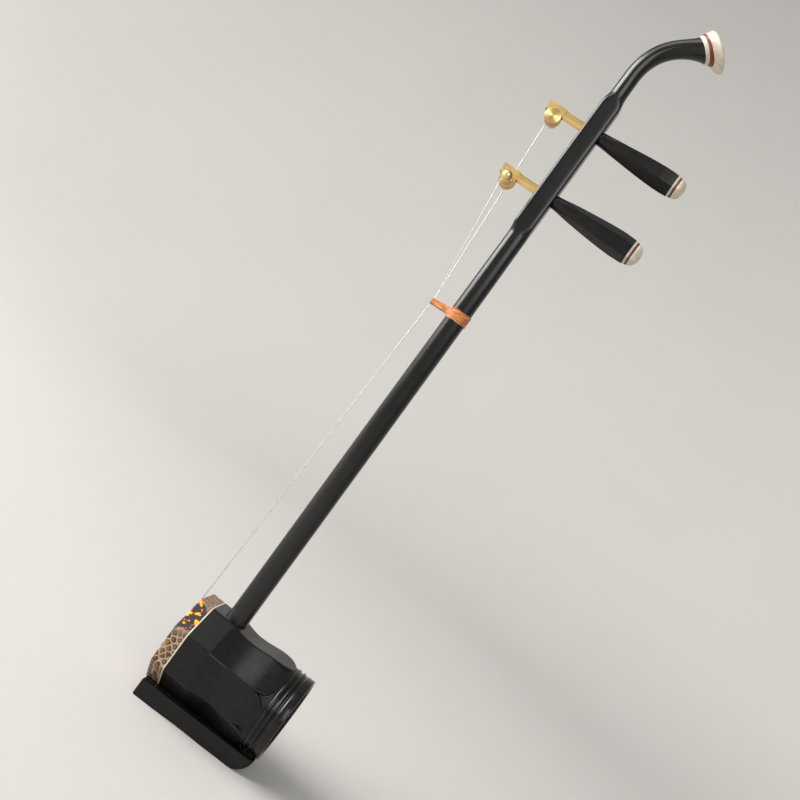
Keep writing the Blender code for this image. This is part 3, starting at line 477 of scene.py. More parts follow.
FINISHES = {  # each finish's material and material slot
    "wood_z": (black_wood("black_wood_upright", "Z", 0.40, (0.20, 0.26)), "black_wood"),
    "wood_turned": (black_wood("black_wood_turned", "Y", 0.30, (0.16, 0.22)), "black_wood"),
    "wood_y": (black_wood("black_wood_lengthwise", "Y"), "black_wood"),
    "bone": (bone(), "bone"),
    "red": (red_inlay(), "red_ring"),
    "python": (python_skin(), "python"),
    # The brass tones below are painted light and shade: the same brass is made darker on the block, screws
    # and pin and brighter on the ball and tube.
    "brass": (brass("polished_brass"), "brass"),
    "brass_ball": (brass("ball_brass", 0.96, None, (0.27, 0.33)), "brass"),
    "brass_disc": (brass("cover_brass", 0.87, "X", (0.35, 0.41)), "brass"),
    "brass_tube": (brass("tube_brass", 1.0, "Y", (0.34, 0.42)), "brass"),
    "steel": (steel("turned_steel"), "steel"),
    "inner_wire": (steel("inner_string_wire", (0.62, 0.62, 0.61), 0.42, 0.5), "steel"),
    "outer_wire": (steel("outer_string_wire", (0.66, 0.66, 0.65), 0.36), "steel"),
    "thread": (thread(), "thread"),
    "maple": (maple(), "maple"),
    "felt": (felt(), "felt"),
}


# Sound box


SCOOP_START = 4 * MM
WAIST_Y = 27 * MM
WAIST_APOTHEM = 41.0 * MM
LOBE_Y = 57 * MM
LOBE_APOTHEM = 43.4 * MM
LOBE_LENGTH = 15.9 * MM
LOBE_HALF = 17.9 * MM
BODY_RADIUS = 42.3 * MM
STAVE_END = node_box("stave_top")[1].y
BOX_INNER = 36.5 * MM
SEAM = 0.02 * MM  # kept between pieces that meet


def eased(share):
    return (1 - cos(pi * min(max(share, 0), 1))) / 2


def box_apothem(y):
    """Half the width across the flats: straight, then scooped to a waist, then full at the lobes."""
    if y <= SCOOP_START:
        return BOX_APOTHEM
    if y <= WAIST_Y:
        share = (y - SCOOP_START) / (WAIST_Y - SCOOP_START)
        share = sin(pi / 2 * share) * (1 - 0.35 * (1 - share) ** 6)
        return BOX_APOTHEM + (WAIST_APOTHEM - BOX_APOTHEM) * share
    if y <= LOBE_Y:
        return WAIST_APOTHEM + (LOBE_APOTHEM - WAIST_APOTHEM) * eased((y - WAIST_Y) / (LOBE_Y - WAIST_Y))
    return LOBE_APOTHEM + (BODY_RADIUS - LOBE_APOTHEM) * ((y - LOBE_Y) / (STAVE_END - LOBE_Y)) ** 2


def octagon_radius(angle, apothem, crispness=110):
    """Distance from the box's axis to its side, at an angle from a flat's middle, with rounded corners."""
    total = sum(max(0, cos(angle + turn * FACET_TURN)) ** crispness for turn in (-1, 0, 1))
    return apothem * total ** (-1 / crispness)


def wood_radius(angle, y):
    """The carved outside of one stave: flat, with a lobe that ends in a round step above the turned body."""
    apothem = box_apothem(y)
    flat = octagon_radius(angle, apothem)
    if y <= LOBE_Y:
        return flat
    across = apothem * tan(angle)
    reach = hypot((y - LOBE_Y) / LOBE_LENGTH, across / LOBE_HALF)
    inside = (1 - reach) * LOBE_LENGTH
    step = eased(inside / (1.1 * MM) + 0.5)
    round_off = 0.35 * MM * max(0, 1 - inside / (3.5 * MM)) ** 2
    return BODY_RADIUS + max(0, flat - round_off - BODY_RADIUS) * step


def facet_angles(count, clustering=0.5):
    """Angles across one facet, closer together towards its corners."""
    steps = [-1 + 2 * i / count for i in range(count + 1)]
    return [FACET_HALF * (u + clustering * sin(pi * u) / pi) for u in steps]


def spaced(low, high, step):
    count = max(1, round((high - low) / step))
    return [low + (high - low) * i / count for i in range(count + 1)]


def around(angle, radius, y):
    """A point at an angle about the box's axis, from its top towards +X."""
    return (radius * sin(angle), y, BOX_Z + radius * cos(angle))


def make_stave(name, index):
    turn = index * FACET_TURN
    rabbet_end = node_box("skin_binding")[1].y + 0.05 * MM
    rabbet = BOX_APOTHEM - SKIN_THICKNESS - 0.1 * MM
    stations = [(SKIN_FRONT + SKIN_THICKNESS + 0.1 * MM, rabbet), (rabbet_end, rabbet)]
    for low, high, step in (
        (rabbet_end + SEAM, SCOOP_START - 3 * MM, 4 * MM),
        (SCOOP_START - 2 * MM, SCOOP_START + 8 * MM, 0.6 * MM),
        (SCOOP_START + 9 * MM, LOBE_Y - 1 * MM, 1.6 * MM),
        (LOBE_Y, STAVE_END, 0.36 * MM),
    ):
        stations += [(y, None) for y in spaced(low, high, step)]
    angles = facet_angles(48, 0.85)
    rows = []
    for y, straight in stations:
        row = []
        for angle in angles:
            radius = octagon_radius(angle, straight) if straight else wood_radius(angle, y)
            row.append(around(turn + angle, radius, y))
        row += [around(turn + angle, BOX_INNER / cos(angle), y) for angle in (angles[-1], 0, angles[0])]
        rows.append(row)
    node = "stave_" + name
    piece("box_" + node, tube(rows), "wood_y", [node], sharp=42)


def bead(start, end, base, peak, steps=10):
    """(along, radius) points of a half-round bead."""
    middle, half = (start + end) / 2, (end - start) / 2
    turns = [pi * i / steps for i in range(steps + 1)]
    return [(middle - half * cos(turn), base + (peak - base) * sin(turn)) for turn in turns]


def make_rear_rim():
    """Two round beads and a small one, a plain collar with a rounded rear edge, and a dished rear face."""
    rear = node_box("rear_rim")[1].y
    grille_low, grille_high = (corner.y for corner in node_box("rear_grille"))
    base, peak, collar, edge = 41.7 * MM, 43.2 * MM, 42.8 * MM, 1.2 * MM
    start = STAVE_END + SEAM
    outline = [(start, BOX_INNER), (start, BODY_RADIUS)]
    outline += bead(start + 0.3 * MM, 77.9 * MM, base + 0.3 * MM, peak)
    outline += [(78.2 * MM, base), (79.6 * MM, base)]
    outline += bead(79.8 * MM, 82.6 * MM, base + 0.3 * MM, peak)
    outline += bead(82.8 * MM, 84.4 * MM, base + 0.1 * MM, 42.5 * MM, 6)
    outline += [(84.7 * MM, base), (85.5 * MM, base + 0.2 * MM)]
    outline += [(86.0 * MM, collar - 0.15 * MM), (86.6 * MM, collar), (rear - edge, collar)]
    outline += [(rear - edge + edge * sin(a), collar - edge * (1 - cos(a))) for a in (0.4, 0.8, 1.2, 1.57)]
    outline += [(rear, 40.2 * MM), (rear - 0.5 * MM, 39.4 * MM), (rear - 1.6 * MM, 38.6 * MM)]
    outline += [(grille_high + 1.2 * MM, BOX_INNER + 0.2 * MM), (grille_high + 0.4 * MM, BOX_INNER)]
    outline += [(grille_low - 2 * MM, BOX_INNER)]
    shape = lathe(outline, 192, (0, 0, BOX_Z), (0, 1, 0), ring=True)
    piece("turned_rear_rim", shape, "wood_turned", ["rear_rim"], sharp=50)


def make_grille():
    """The carved sound window: an outer frame, eight petals and a centre ring."""
    low, high = (corner.y for corner in node_box("rear_grille"))
    radius, bar_half, bulge = BOX_INNER - 0.1 * MM, 1.3 * MM, 1.5 * MM
    petal = ((13 * MM, 1), (31 * MM, -1))  # radius and direction of its inner and outer edge
    centre = (0, 0, BOX_Z)
    disc = rod(low, high, radius, 128, centre, (0, 1, 0))
    disc = piece("carved_sound_window", disc, "wood_y", ["rear_grille"])
    cuts = []
    for i in range(FACETS):
        outline = []
        for r, order in petal:
            reach = FACET_HALF - asin(bar_half / r)
            for step in range(11):
                share = 2 * step / 10 - 1
                angle = i * FACET_TURN + order * share * reach
                x, _, z = around(angle, r + (bulge * cos(share * pi / 2) if order < 0 else 0), 0)
                outline.append((x, z))
        cuts.append(prism(outline, low - MM, high + MM, "Y"))
    cuts.append(rod(low - MM, high + MM, 8 * MM, 48, centre, (0, 1, 0)))
    combine(disc, "DIFFERENCE", *cuts)
    soften(disc, 0.45 * MM, 3)


def make_sound_box():
    names = ["top", "upper_right", "right", "lower_right", "bottom", "lower_left", "left", "upper_left"]
    for index, name in enumerate(names):
        make_stave(name, index)
    make_rear_rim()
    make_grille()


# Skin


SADDLES = [  # dark blotches of the skin: across, up, radius, in the flat skin's millimetres
    (33, 33, 19),
    (-37, 24, 13),
    (-6, 6, 12),
    (24, -14, 10),
    (-26, -30, 14),
    (4, -46, 10),
]


def skin_darkness(across, up):
    """How dark the skin is at a place on it, from 0 to 1."""
    darkest = 0.0
    for x, z, radius in SADDLES:
        distance = hypot(across / MM - x, up / MM - z)
        darkest = max(darkest, 1 - 0.42 * (distance / radius) ** 2)
    return max(0.0, min(1.0, darkest))


def octagon_angles(count):
    """Angles all round the box, closer together towards its corners."""
    return [facet * FACET_TURN + a for facet in range(FACETS) for a in facet_angles(count, 0.6)[:-1]]


def octagon_reach(angle, apothem):
    return octagon_radius((angle + FACET_HALF) % FACET_TURN - FACET_HALF, apothem)


def skin_profile(fold):
    """(y, apothem, distance along the skin from its middle) over the face, the fold and the side."""
    fold_start = BOX_APOTHEM - fold
    profile = [(SKIN_FRONT, share * fold_start, share * fold_start) for share in np.linspace(0.02, 1, 36)]
    for turn in np.linspace(15, 90, 6):
        a = radians(turn)
        profile.append((SKIN_FRONT + fold * (1 - cos(a)), fold_start + fold * sin(a), fold_start + fold * a))
    start, _, along = profile[-1]
    for share in np.linspace(0.1, 1, 12):
        y = start + share * (SKIN_MARGIN_END - start)
        profile.append((y, BOX_APOTHEM, along + y - start))
    return profile


def make_skin():
    """One python skin: the playing face, a rounded fold and the side margin, with its own thickness."""
    fold = 1.1 * MM
    thick = SKIN_THICKNESS
    angles = octagon_angles(26)
    profile = skin_profile(fold)
    end = profile[-1][2]
    profile.append((SKIN_MARGIN_END, BOX_APOTHEM - thick, end))
    profile.append((SKIN_FRONT + 2 * fold, BOX_APOTHEM - thick, BOX_APOTHEM + fold))
    profile.append((SKIN_FRONT + thick, BOX_APOTHEM - thick - 0.5 * fold, BOX_APOTHEM - fold))
    for share in (0.6, 0.3, 0.02):
        profile.append((SKIN_FRONT + thick, share * BOX_APOTHEM, share * BOX_APOTHEM))
    rows, flat = [], []
    for y, apothem, along in profile:
        reaches = [octagon_reach(angle, apothem) for angle in angles]
        rows.append([around(angle, reach, y) for angle, reach in zip(angles, reaches)])
        for angle, reach in zip(angles, reaches):
            spread = reach * along / apothem
            flat.append((spread * sin(angle), spread * cos(angle)))
    skin = piece("python_skin", tube(rows), "python", ["python_skin_face", "python_skin_margin"])
    places = skin.data.attributes.new("skin_flat", "FLOAT_VECTOR", "POINT")
    places.data.foreach_set("vector", [value for a, b in flat for value in (a / MM, b / MM, 0)])
    darkness = skin.data.attributes.new("skin_dark", "FLOAT", "POINT")
    darkness.data.foreach_set("value", [skin_darkness(a, b) for a, b in flat])


def make_binding():
    """The cream strip between the skin's edge and the wood."""
    low, high = SKIN_MARGIN_END + SEAM, node_box("skin_binding")[1].y
    outer, inner, edge = BOX_APOTHEM + 0.22 * MM, BOX_APOTHEM - SKIN_THICKNESS, 0.15 * MM
    section = [(low, inner), (low, outer - edge), (low + edge, outer)]
    section += [(high - edge, outer), (high, outer - edge), (high, inner)]
    angles = octagon_angles(20)
    rows = [[around(angle, octagon_reach(angle, apothem), y) for angle in angles] for y, apothem in section]
    piece("cream_binding", tube(rows, capped=False), "bone", ["skin_binding"], sharp=50)


# Base


BASE_REAR = 92.5 * MM
BASE_REAR_HALF = 25 * MM


def rectangle(half_x, low_y, high_y):
    return [(-half_x, low_y), (half_x, low_y), (half_x, high_y), (-half_x, high_y)]


def screw_spot(name):
    low, high = node_box("base_screw_" + name)
    return (0, (low.y + high.y) / 2, 0)


def make_base():
    """A block that narrows to its rounded rear end: arched sole, cradle for the box, string channel."""
    low, high = node_box("base_block")
    front, rear, top, half_front = low.y, BASE_REAR, high.z, high.x
    corner, round_rear = 19 * MM, 9 * MM
    side = [(front, top), (front, 1.2 * MM), (front + 1.2 * MM, 0)]
    for i in range(25):
        share = i / 24
        side.append((-12 * MM + 58 * MM * share, 1.0 * MM * sin(pi * share) ** 2))
    side += arc((rear - corner, corner), corner, -90, degrees(asin(top / corner - 1)), 20)
    plan = [(half_front, front - MM)]
    plan += arc((BASE_REAR_HALF - round_rear, rear + 0.6 * MM - round_rear), round_rear, 0, 90, 12)
    plan += [(-x, y) for x, y in reversed(plan)]
    shape = prism(plan, -MM, top + MM, "Z")
    base = piece("base_block_carved", shape, "wood_y", ["base_block"])
    combine(base, "INTERSECT", prism(side, -60 * MM, 60 * MM, "X"))
    cradle = BOX_Z - BOX_APOTHEM - 0.1 * MM
    half = BOX_APOTHEM * tan(FACET_HALF) + 0.2 * MM
    rise, channel, floor, pocket = 8 * MM, 6 * MM, 3.6 * MM, 8 * MM
    seat = [(-half, cradle), (half, cradle), (half + rise, cradle + rise), (-half - rise, cradle + rise)]
    cuts = [prism(seat, front - 5 * MM, rear + 5 * MM, "Y")]
    cuts.append(prism(rectangle(channel, floor, top + 5 * MM), front - 5 * MM, 0, "Y"))
    cuts.append(prism(rectangle(pocket, -pocket, pocket), floor, 30 * MM, "Z"))
    for name in ("front", "rear"):
        for end, radius, sides in ((20 * MM, 1.9 * MM, 24), (4.6 * MM, 3.5 * MM, 32)):
            cuts.append(rod(-MM, end, radius, sides, screw_spot(name), (0, 0, 1)))
    for sign in (1, -1):
        cuts.append(groove_cut(sign, half_front, front, rear))
    combine(base, "DIFFERENCE", *cuts)
    soften(base, 0.5 * MM, 3)
    for name in ("front", "rear"):
        make_screw(name)


def groove_cut(sign, half_front, front, rear):
    """A fine line cut along a side of the base near its rear."""
    height, mouth = 12.3 * MM, 0.35 * MM
    rows = []
    for y, deep in ((44 * MM, -0.05 * MM), (rear - 8 * MM, 0.35 * MM)):
        half = half_front + (BASE_REAR_HALF - half_front) * (y - front) / (rear - front)
        bottom, outside = sign * (half - deep), sign * (half + MM)
        rows.append([(bottom, y, height), (outside, y, height + mouth), (outside, y, height - mouth)])
    return tube(rows)


def make_screw(name):
    node = "base_screw_" + name
    low, high = node_box(node)
    spot = screw_spot(name)
    head, shank, slot_half, bottom = (high.x - low.x) / 2, 1.6 * MM, 0.4 * MM, low.z
    profile = [(bottom, head - 0.3 * MM), (bottom + 0.3 * MM, head), (bottom + 1.8 * MM, head)]
    profile += [(bottom + 2.1 * MM, shank), (high.z - 2 * MM, shank), (high.z, 0.3 * MM)]
    screw = piece("wood_screw_" + name, lathe(profile, 48, spot, (0, 0, 1)), "brass", [node], sharp=40)
    slot = rectangle(5 * MM, spot[1] - slot_half, spot[1] + slot_half)
    combine(screw, "DIFFERENCE", prism(slot, bottom - MM, bottom + 0.9 * MM, "Z"))
    screw.data.set_sharp_from_angle(angle=radians(40))


# Neck and head


FOOT_Z = BOX_Z + BOX_APOTHEM + 0.05 * MM
TENON = 6.8 * MM
PEG_BORE = 4.9 * MM
SHOULDER_TOP = 717 * MM
SHOULDER_LOW = 551 * MM
HEAD_OUTER = ((-9.2, 736.0), (-9.2, 782.0), (20.4, 791.4), (28.0, 801.2))
HEAD_INNER = ((6.7, 736.0), (6.7, 775.2), (39.6, 785.2), (47.1, 785.2))
HEAD_NARROWING = 0.97
STICK = [  # height, half depth, half width, squareness of the round stick
    (FOOT_Z, 11.3 * MM, 10.5 * MM, 2.5),
    (FOOT_Z + 1.2 * MM, 11.2 * MM, 10.3 * MM, 2.5),
    (FOOT_Z + 3.2 * MM, 10.95 * MM, 9.8 * MM, 2.5),
    (FOOT_Z + 9 * MM, 10.7 * MM, 9.4 * MM, 2.4),
    (325 * MM, 10.7 * MM, 9.4 * MM, 2.4),
    (457 * MM, 10.3 * MM, 9.1 * MM, 2.4),
    (SHOULDER_LOW, 9.7 * MM, 8.6 * MM, 2.4),
    (SHOULDER_TOP, 8.15 * MM, 8.0 * MM, 2.15),
    (726 * MM, 8.0 * MM, 7.8 * MM, 2.1),
    (736 * MM, 7.95 * MM, 7.75 * MM, 2.0),
]
PEG_FACE = {"front": 10.9 * MM, "back": 9.3 * MM, "side": 8.4 * MM}
PEG_SQUARENESS = 6.5
SHOULDER_LENGTH = {"low": 15 * MM, "top": 17 * MM}


def along_table(table, at):
    """Values between the two nearest rows of a table."""
    keys = [row[0] for row in table]
    values = np.array([row[1:] for row in table])
    i = int(np.clip(np.searchsorted(keys, at) - 1, 0, len(keys) - 2))
    share = min(max((at - keys[i]) / (keys[i + 1] - keys[i]), 0), 1)
    return values[i] + (values[i + 1] - values[i]) * share


def peg_share(z):
    """How far the neck is squared for the pegs: 0 where it is round, 1 between the shoulders."""
    low = (z - SHOULDER_LOW) / SHOULDER_LENGTH["low"]
    top = (SHOULDER_TOP - z) / SHOULDER_LENGTH["top"]
    return eased(min(low, top))


def neck_centre(z):
    middle = (PEG_FACE["back"] - PEG_FACE["front"]) / 2
    if z <= 600 * MM:
        return middle * peg_share(z)
    return middle + (-1.2 * MM - middle) * eased((z - 700 * MM) / (20 * MM))


def rounded(angle, half_x, half_y, power):
    """Polar radius of a rounded rectangle."""
    return (abs(cos(angle) / half_x) ** power + abs(sin(angle) / half_y) ** power) ** (-1 / power)


def neck_angles():
    corner = degrees(atan2(PEG_FACE["front"], PEG_FACE["side"]))
    found = set(np.round(np.arange(0, 360, 6.0), 3))
    for middle in (corner, 180 - corner, 180 + corner, 360 - corner):
        found |= set(np.round(middle + np.arange(-12, 12.1, 1.5), 3))
    return [radians(a) for a in sorted(found)]


def neck_row(z, angles):
    half_y, half_x, power = along_table(STICK, z)
    share = peg_share(z)
    half_y += ((PEG_FACE["back"] + PEG_FACE["front"]) / 2 - half_y) * share
    half_x += (PEG_FACE["side"] - half_x) * min(1, 2 * share)
    power += (PEG_SQUARENESS - power) * share**1.5
    centre = neck_centre(z)
    row = []
    for angle in angles:
        radius = rounded(angle, half_x, half_y, power)
        row.append((radius * cos(angle), centre + radius * sin(angle), z))
    return row


def curve_point(controls, t):
    """A point of a Bezier curve given by four (Y, Z) pairs in millimetres."""
    weights = ((1 - t) ** 3, 3 * t * (1 - t) ** 2, 3 * t * t * (1 - t), t**3)
    return sum((weight * Vector((0, y, z)) * MM for weight, (y, z) in zip(weights, controls)), Vector())


def head_section(t):
    """Centre, tilt and radius of the curled head, between its outer and inner edges, for t from 0 to 1."""
    outer, inner = curve_point(HEAD_OUTER, t), curve_point(HEAD_INNER, t)
    across = inner - outer
    return (outer + inner) / 2, atan2(-across.z, across.y), across.length / 2


def tilted_ring(centre, tilt, radius, angles, narrowing=1.0):
    outward = Vector((0, cos(tilt), -sin(tilt)))
    side = Vector((narrowing, 0, 0))
    return [centre + side * (radius * cos(a)) + outward * (radius * sin(a)) for a in angles]


def make_neck():
    angles = neck_angles()
    rows = []
    for z in (node_box("neck")[0].z, FOOT_Z):
        reaches = [rounded(a, TENON, TENON, 10) for a in angles]
        rows.append([(reach * cos(a), reach * sin(a), z) for a, reach in zip(angles, reaches)])
    for low, high, step in (
        (FOOT_Z, FOOT_Z + 10 * MM, 0.8 * MM),
        (FOOT_Z + 15 * MM, SHOULDER_LOW - MM, 9 * MM),
        (SHOULDER_LOW, SHOULDER_LOW + 18 * MM, 0.9 * MM),
        (576 * MM, 692 * MM, 8 * MM),
        (696 * MM, SHOULDER_TOP + MM, 0.9 * MM),
        (720 * MM, 734 * MM, 2 * MM),
    ):
        rows += [neck_row(z, angles) for z in spaced(low, high, step)]
    steps = 48
    for step in range(steps + 1):
        place, tilt, radius = head_section(step / steps)
        rows.append(tilted_ring(place, tilt, radius, angles, HEAD_NARROWING))
    neck = piece("carved_neck", tube(rows), "wood_z", ["neck"], sharp=60)
    bores = [rod(-20 * MM, 20 * MM, PEG_BORE, 48, (0, 0, PEG_Z[side]), (0, 1, 0)) for side in SIDES]
    combine(neck, "DIFFERENCE", *bores)


HEAD_PIECES = {  # finish, and sections: along the head's axis, drift, radius, extra tilt in degrees
    "head_ring_bone": ("bone", [
        (0.05, 0.0, 12.45, 0),
        (0.35, 0.1, 12.75, 0),
        (1.8, 0.35, 13.2, 0.5),
        (3.2, 0.7, 13.7, 1.2),
        (3.5, 0.75, 13.6, 1.5),
    ]),
    "head_ring_red": ("red", [
        (3.55, 0.75, 13.7, 1.5),
        (3.8, 0.85, 14.0, 1.2),
        (4.7, 1.1, 14.8, -0.6),
        (5.6, 1.25, 15.55, -2.4),
        (5.8, 1.3, 15.6, -2.6),
    ]),
    "head_cap": ("bone", [
        (5.85, 1.35, 15.7, -2.6),
        (6.1, 1.6, 16.0, -2.5),
        (7.0, 2.9, 17.0, -2.0),
        (8.4, 4.3, 18.2, -1.4),
        (9.8, 5.2, 19.2, -0.8),
        (10.8, 5.6, 19.8, -0.5),
        (11.6, 5.7, 20.05, -0.5),
        (12.3, 5.65, 20.0, -0.5),
        (13.0, 5.6, 19.6, -0.5),
        (13.5, 5.5, 18.9, -0.5),
        (14.1, 5.4, 17.3, -0.5),
        (14.7, 5.3, 14.6, -0.5),
        (15.2, 5.2, 10.8, -0.5),
        (15.5, 5.2, 6.0, -0.5),
        (15.6, 5.2, 1.5, -0.5),
    ]),
}


def make_head_cap():
    """Bone ring, red ring and flared bone cap. The red ring is thin at the top edge and thick below."""
    angles = [2 * pi * i / 72 for i in range(72)]
    end, tilt, _ = head_section(1)
    forward = Vector((0, sin(tilt), cos(tilt)))
    downward = Vector((0, cos(tilt), -sin(tilt)))
    for node, (finish, sections) in HEAD_PIECES.items():
        rows = []
        for along, drift, radius, extra in sections:
            centre = end + forward * (along * MM) + downward * (drift * MM)
            rows.append(tilted_ring(centre, tilt + radians(extra), radius * MM, angles))
        piece("polished_" + node, tube(rows), finish, [node], sharp=60)


# Pegs


HANDLE_RADIUS = 13.1 * MM
HANDLE_BORE = 2.6 * MM
HANDLE_TURN = {"upper": radians(21.5), "lower": radians(40.2)}
HANDLE = [  # share of the length, share of the radius, hexagon share, crispness
    (0.0, 0.50, 0.0, 8),
    (0.01, 0.53, 0.0, 8),
    (0.05, 0.55, 0.1, 12),
    (0.12, 0.605, 0.35, 20),
    (0.18, 0.66, 0.6, 35),
    (0.26, 0.715, 0.85, 55),
    (0.34, 0.76, 1.0, 80),
    (0.46, 0.835, 1.0, 110),
    (0.59, 0.91, 1.0, 120),
    (0.72, 0.965, 1.0, 120),
    (0.83, 1.0, 1.0, 120),
    (0.95, 0.985, 1.0, 120),
    (1.0, 0.955, 1.0, 120),
]


def hexagon_radius(angle, radius, share, crispness):
    """Polar radius between a circle and a hexagon with rounded corners; corners lie at the turn angle."""
    apothem = radius * cos(pi / 6)
    total = sum(max(0, cos(angle - pi / 6 - k * pi / 3)) ** crispness for k in range(6))
    return radius * (1 - share) * 0.95 + apothem * total ** (-1 / crispness) * share


def peg_row(y, radius, share, crispness, side, angles):
    """A section across the peg; angles are about +Y from +Z."""
    row = []
    for angle in angles:
        reach = hexagon_radius(angle - HANDLE_TURN[side], radius, share, crispness)
        row.append((reach * cos(angle), y, PEG_Z[side] - reach * sin(angle)))
    return row


def peg_angles(side):
    found = []
    for corner in range(6):
        middle = HANDLE_TURN[side] + corner * pi / 3
        for u in np.linspace(-1, 1, 19)[:-1]:
            found.append(middle + pi / 6 * u * (0.35 + 0.65 * abs(u)))
    return found


def make_handle(side):
    """Six-sided handle, bone ring, red ring and a bone dome that rounds off its six sides."""
    angles = peg_angles(side)

    def peg_piece(node, sections, finish, sharp=60):
        rows = [peg_row(*section, side, angles) for section in sections]
        return piece(f"{side}_peg_{node}", tube(rows), finish, [f"{side}_{node}"], side + "_peg", sharp)

    low, high = node_box(side + "_handle")
    start, end = low.y - 0.2 * MM, high.y
    sections = []
    for share in spaced(0, 0.06, 0.01) + spaced(0.08, 0.97, 0.018) + [0.985, 0.995, 1.0]:
        size, hexagon, crisp = along_table(HANDLE, share)
        sections.append((start + share * (end - start), size * HANDLE_RADIUS, hexagon, crisp))
    sections.append((end + 0.05 * MM, 0.93 * HANDLE_RADIUS, 1, 120))
    handle = peg_piece("handle", sections, "wood_y")
    bore = rod(start - 5 * MM, start + 42 * MM, HANDLE_BORE, 32, (0, 0, PEG_Z[side]), (0, 1, 0))
    combine(handle, "DIFFERENCE", bore)
    for finish, size, grow in (("bone", 0.945, 0.22 * MM), ("red", 0.91, 0.12 * MM)):
        node = "ring_" + finish
        low, high = node_box(f"{side}_{node}")
        start, end = low.y - grow, high.y + 0.05 * MM
        stations = [(start, -0.015), (start + 0.2 * MM, 0), (end - 0.2 * MM, -0.028), (end, -0.04)]
        sections = [(y, (size + step) * HANDLE_RADIUS, 0.97, 90) for y, step in stations]
        peg_piece(node, sections, finish, 50)
    low, high = node_box(side + "_dome")
    length = (high.y - low.y) / 0.985
    sections = []
    shares = (0, 0.02, 0.08, 0.16, 0.25, 0.35, 0.45, 0.55, 0.64, 0.72, 0.79, 0.85, 0.9, 0.94, 0.968, 0.985)
    for share in shares:
        size = 0.873 * HANDLE_RADIUS * sqrt(1 - (share * 0.995) ** 2)
        if share == 0:
            size *= 0.985
        sections.append((low.y - 0.15 * MM + share * length, size, 0.9 * (1 - share**2), 60))
    peg_piece("dome", sections, "bone")


# Tuning mechanisms


HOUSING_HALF = 4.4 * MM
SLEEVE_RADIUS = 4.6 * MM
LOBE_RADIUS = 8.1 * MM
BARREL_RADIUS = 3.9 * MM
BALL_RADIUS = 5.4 * MM
BALL_X = 13.8 * MM
STRING_X = 9.1 * MM
WIRE = {"inner": 0.35 * MM, "outer": 0.28 * MM}
WORM_BORE = 3.3 * MM
AXLE_BORE = 2.3 * MM


def make_housing(side):
    """Gear block with its round lobe, the tube through the neck, and the turned cover."""
    low, high = node_box(side + "_gear_housing")
    height, tip, back = PEG_Z[side], low.y, -31.6 * MM
    shoulder = degrees(asin((SPOOL_DROP - SLEEVE_RADIUS) / LOBE_RADIUS))
    outline = [(tip, SLEEVE_RADIUS), (tip, -SLEEVE_RADIUS)]
    outline += arc((SPOOL_Y, -SPOOL_DROP), LOBE_RADIUS, 180 - shoulder, 360 + shoulder, 44)
    outline += [(back, -2 * MM), (back, SLEEVE_RADIUS)]
    shape = prism([(y, height + z) for y, z in outline], -HOUSING_HALF, HOUSING_HALF, "X")
    block = piece(side + "_tuner_block", shape, "brass", [side + "_gear_housing"])
    spot = (0, 0, height)
    axle = (0, SPOOL_Y, height - SPOOL_DROP)
    cuts = [rod(-60 * MM, back + 2 * MM, WORM_BORE, 40, spot, (0, 1, 0))]
    cuts.append(rod(-1.8 * MM, 1.8 * MM, 6.1 * MM, 48, axle, (1, 0, 0)))
    cuts.append(rod(-9 * MM, 9 * MM, AXLE_BORE, 40, axle, (1, 0, 0)))
    mouth, end, bottom, top = tip - MM, tip + 1.3 * MM, -3.3 * MM, -0.4 * MM
    slot = [(mouth, bottom), (end, bottom), (end, top), (mouth, top)]
    cuts.append(prism([(y, height + z) for y, z in slot], -6 * MM, 6 * MM, "X"))
    combine(block, "DIFFERENCE", *cuts)
    soften(block, 0.25 * MM, 2, 40)
    inner, outer = WORM_BORE, SLEEVE_RADIUS
    start, end = back - 0.3 * MM, high.y
    edge = 0.3 * MM
    section = [(start, inner), (start, outer), (end - edge, outer), (end, outer - edge), (end, inner)]
    shape = lathe(section, 64, spot, (0, 1, 0), ring=True)
    piece(side + "_tuner_tube", shape, "brass_tube", (), sharp=40)
    low, high = node_box(side + "_cover_disc")
    outward = (-SPOOL_SIDE[side], 0, 0)
    base, top, radius = HOUSING_HALF + SEAM, max(abs(low.x), abs(high.x)), (high.z - low.z) / 2
    profile = [(base, radius), (top - 0.3 * MM, radius), (top - 0.1 * MM, radius - 0.12 * MM)]
    profile += [(top, radius - 0.4 * MM)] + [(top, radius * share) for share in (0.8, 0.6, 0.4, 0.2, 0.06)]
    shape = lathe(profile, 72, axle, outward)
    cover = piece(side + "_round_cover", shape, "brass_disc", [side + "_cover_disc"], sharp=30)
    combine(cover, "DIFFERENCE", rod(0, base + 0.4 * MM, AXLE_BORE, 32, axle, outward))
    cover.data.set_sharp_from_angle(angle=radians(30))


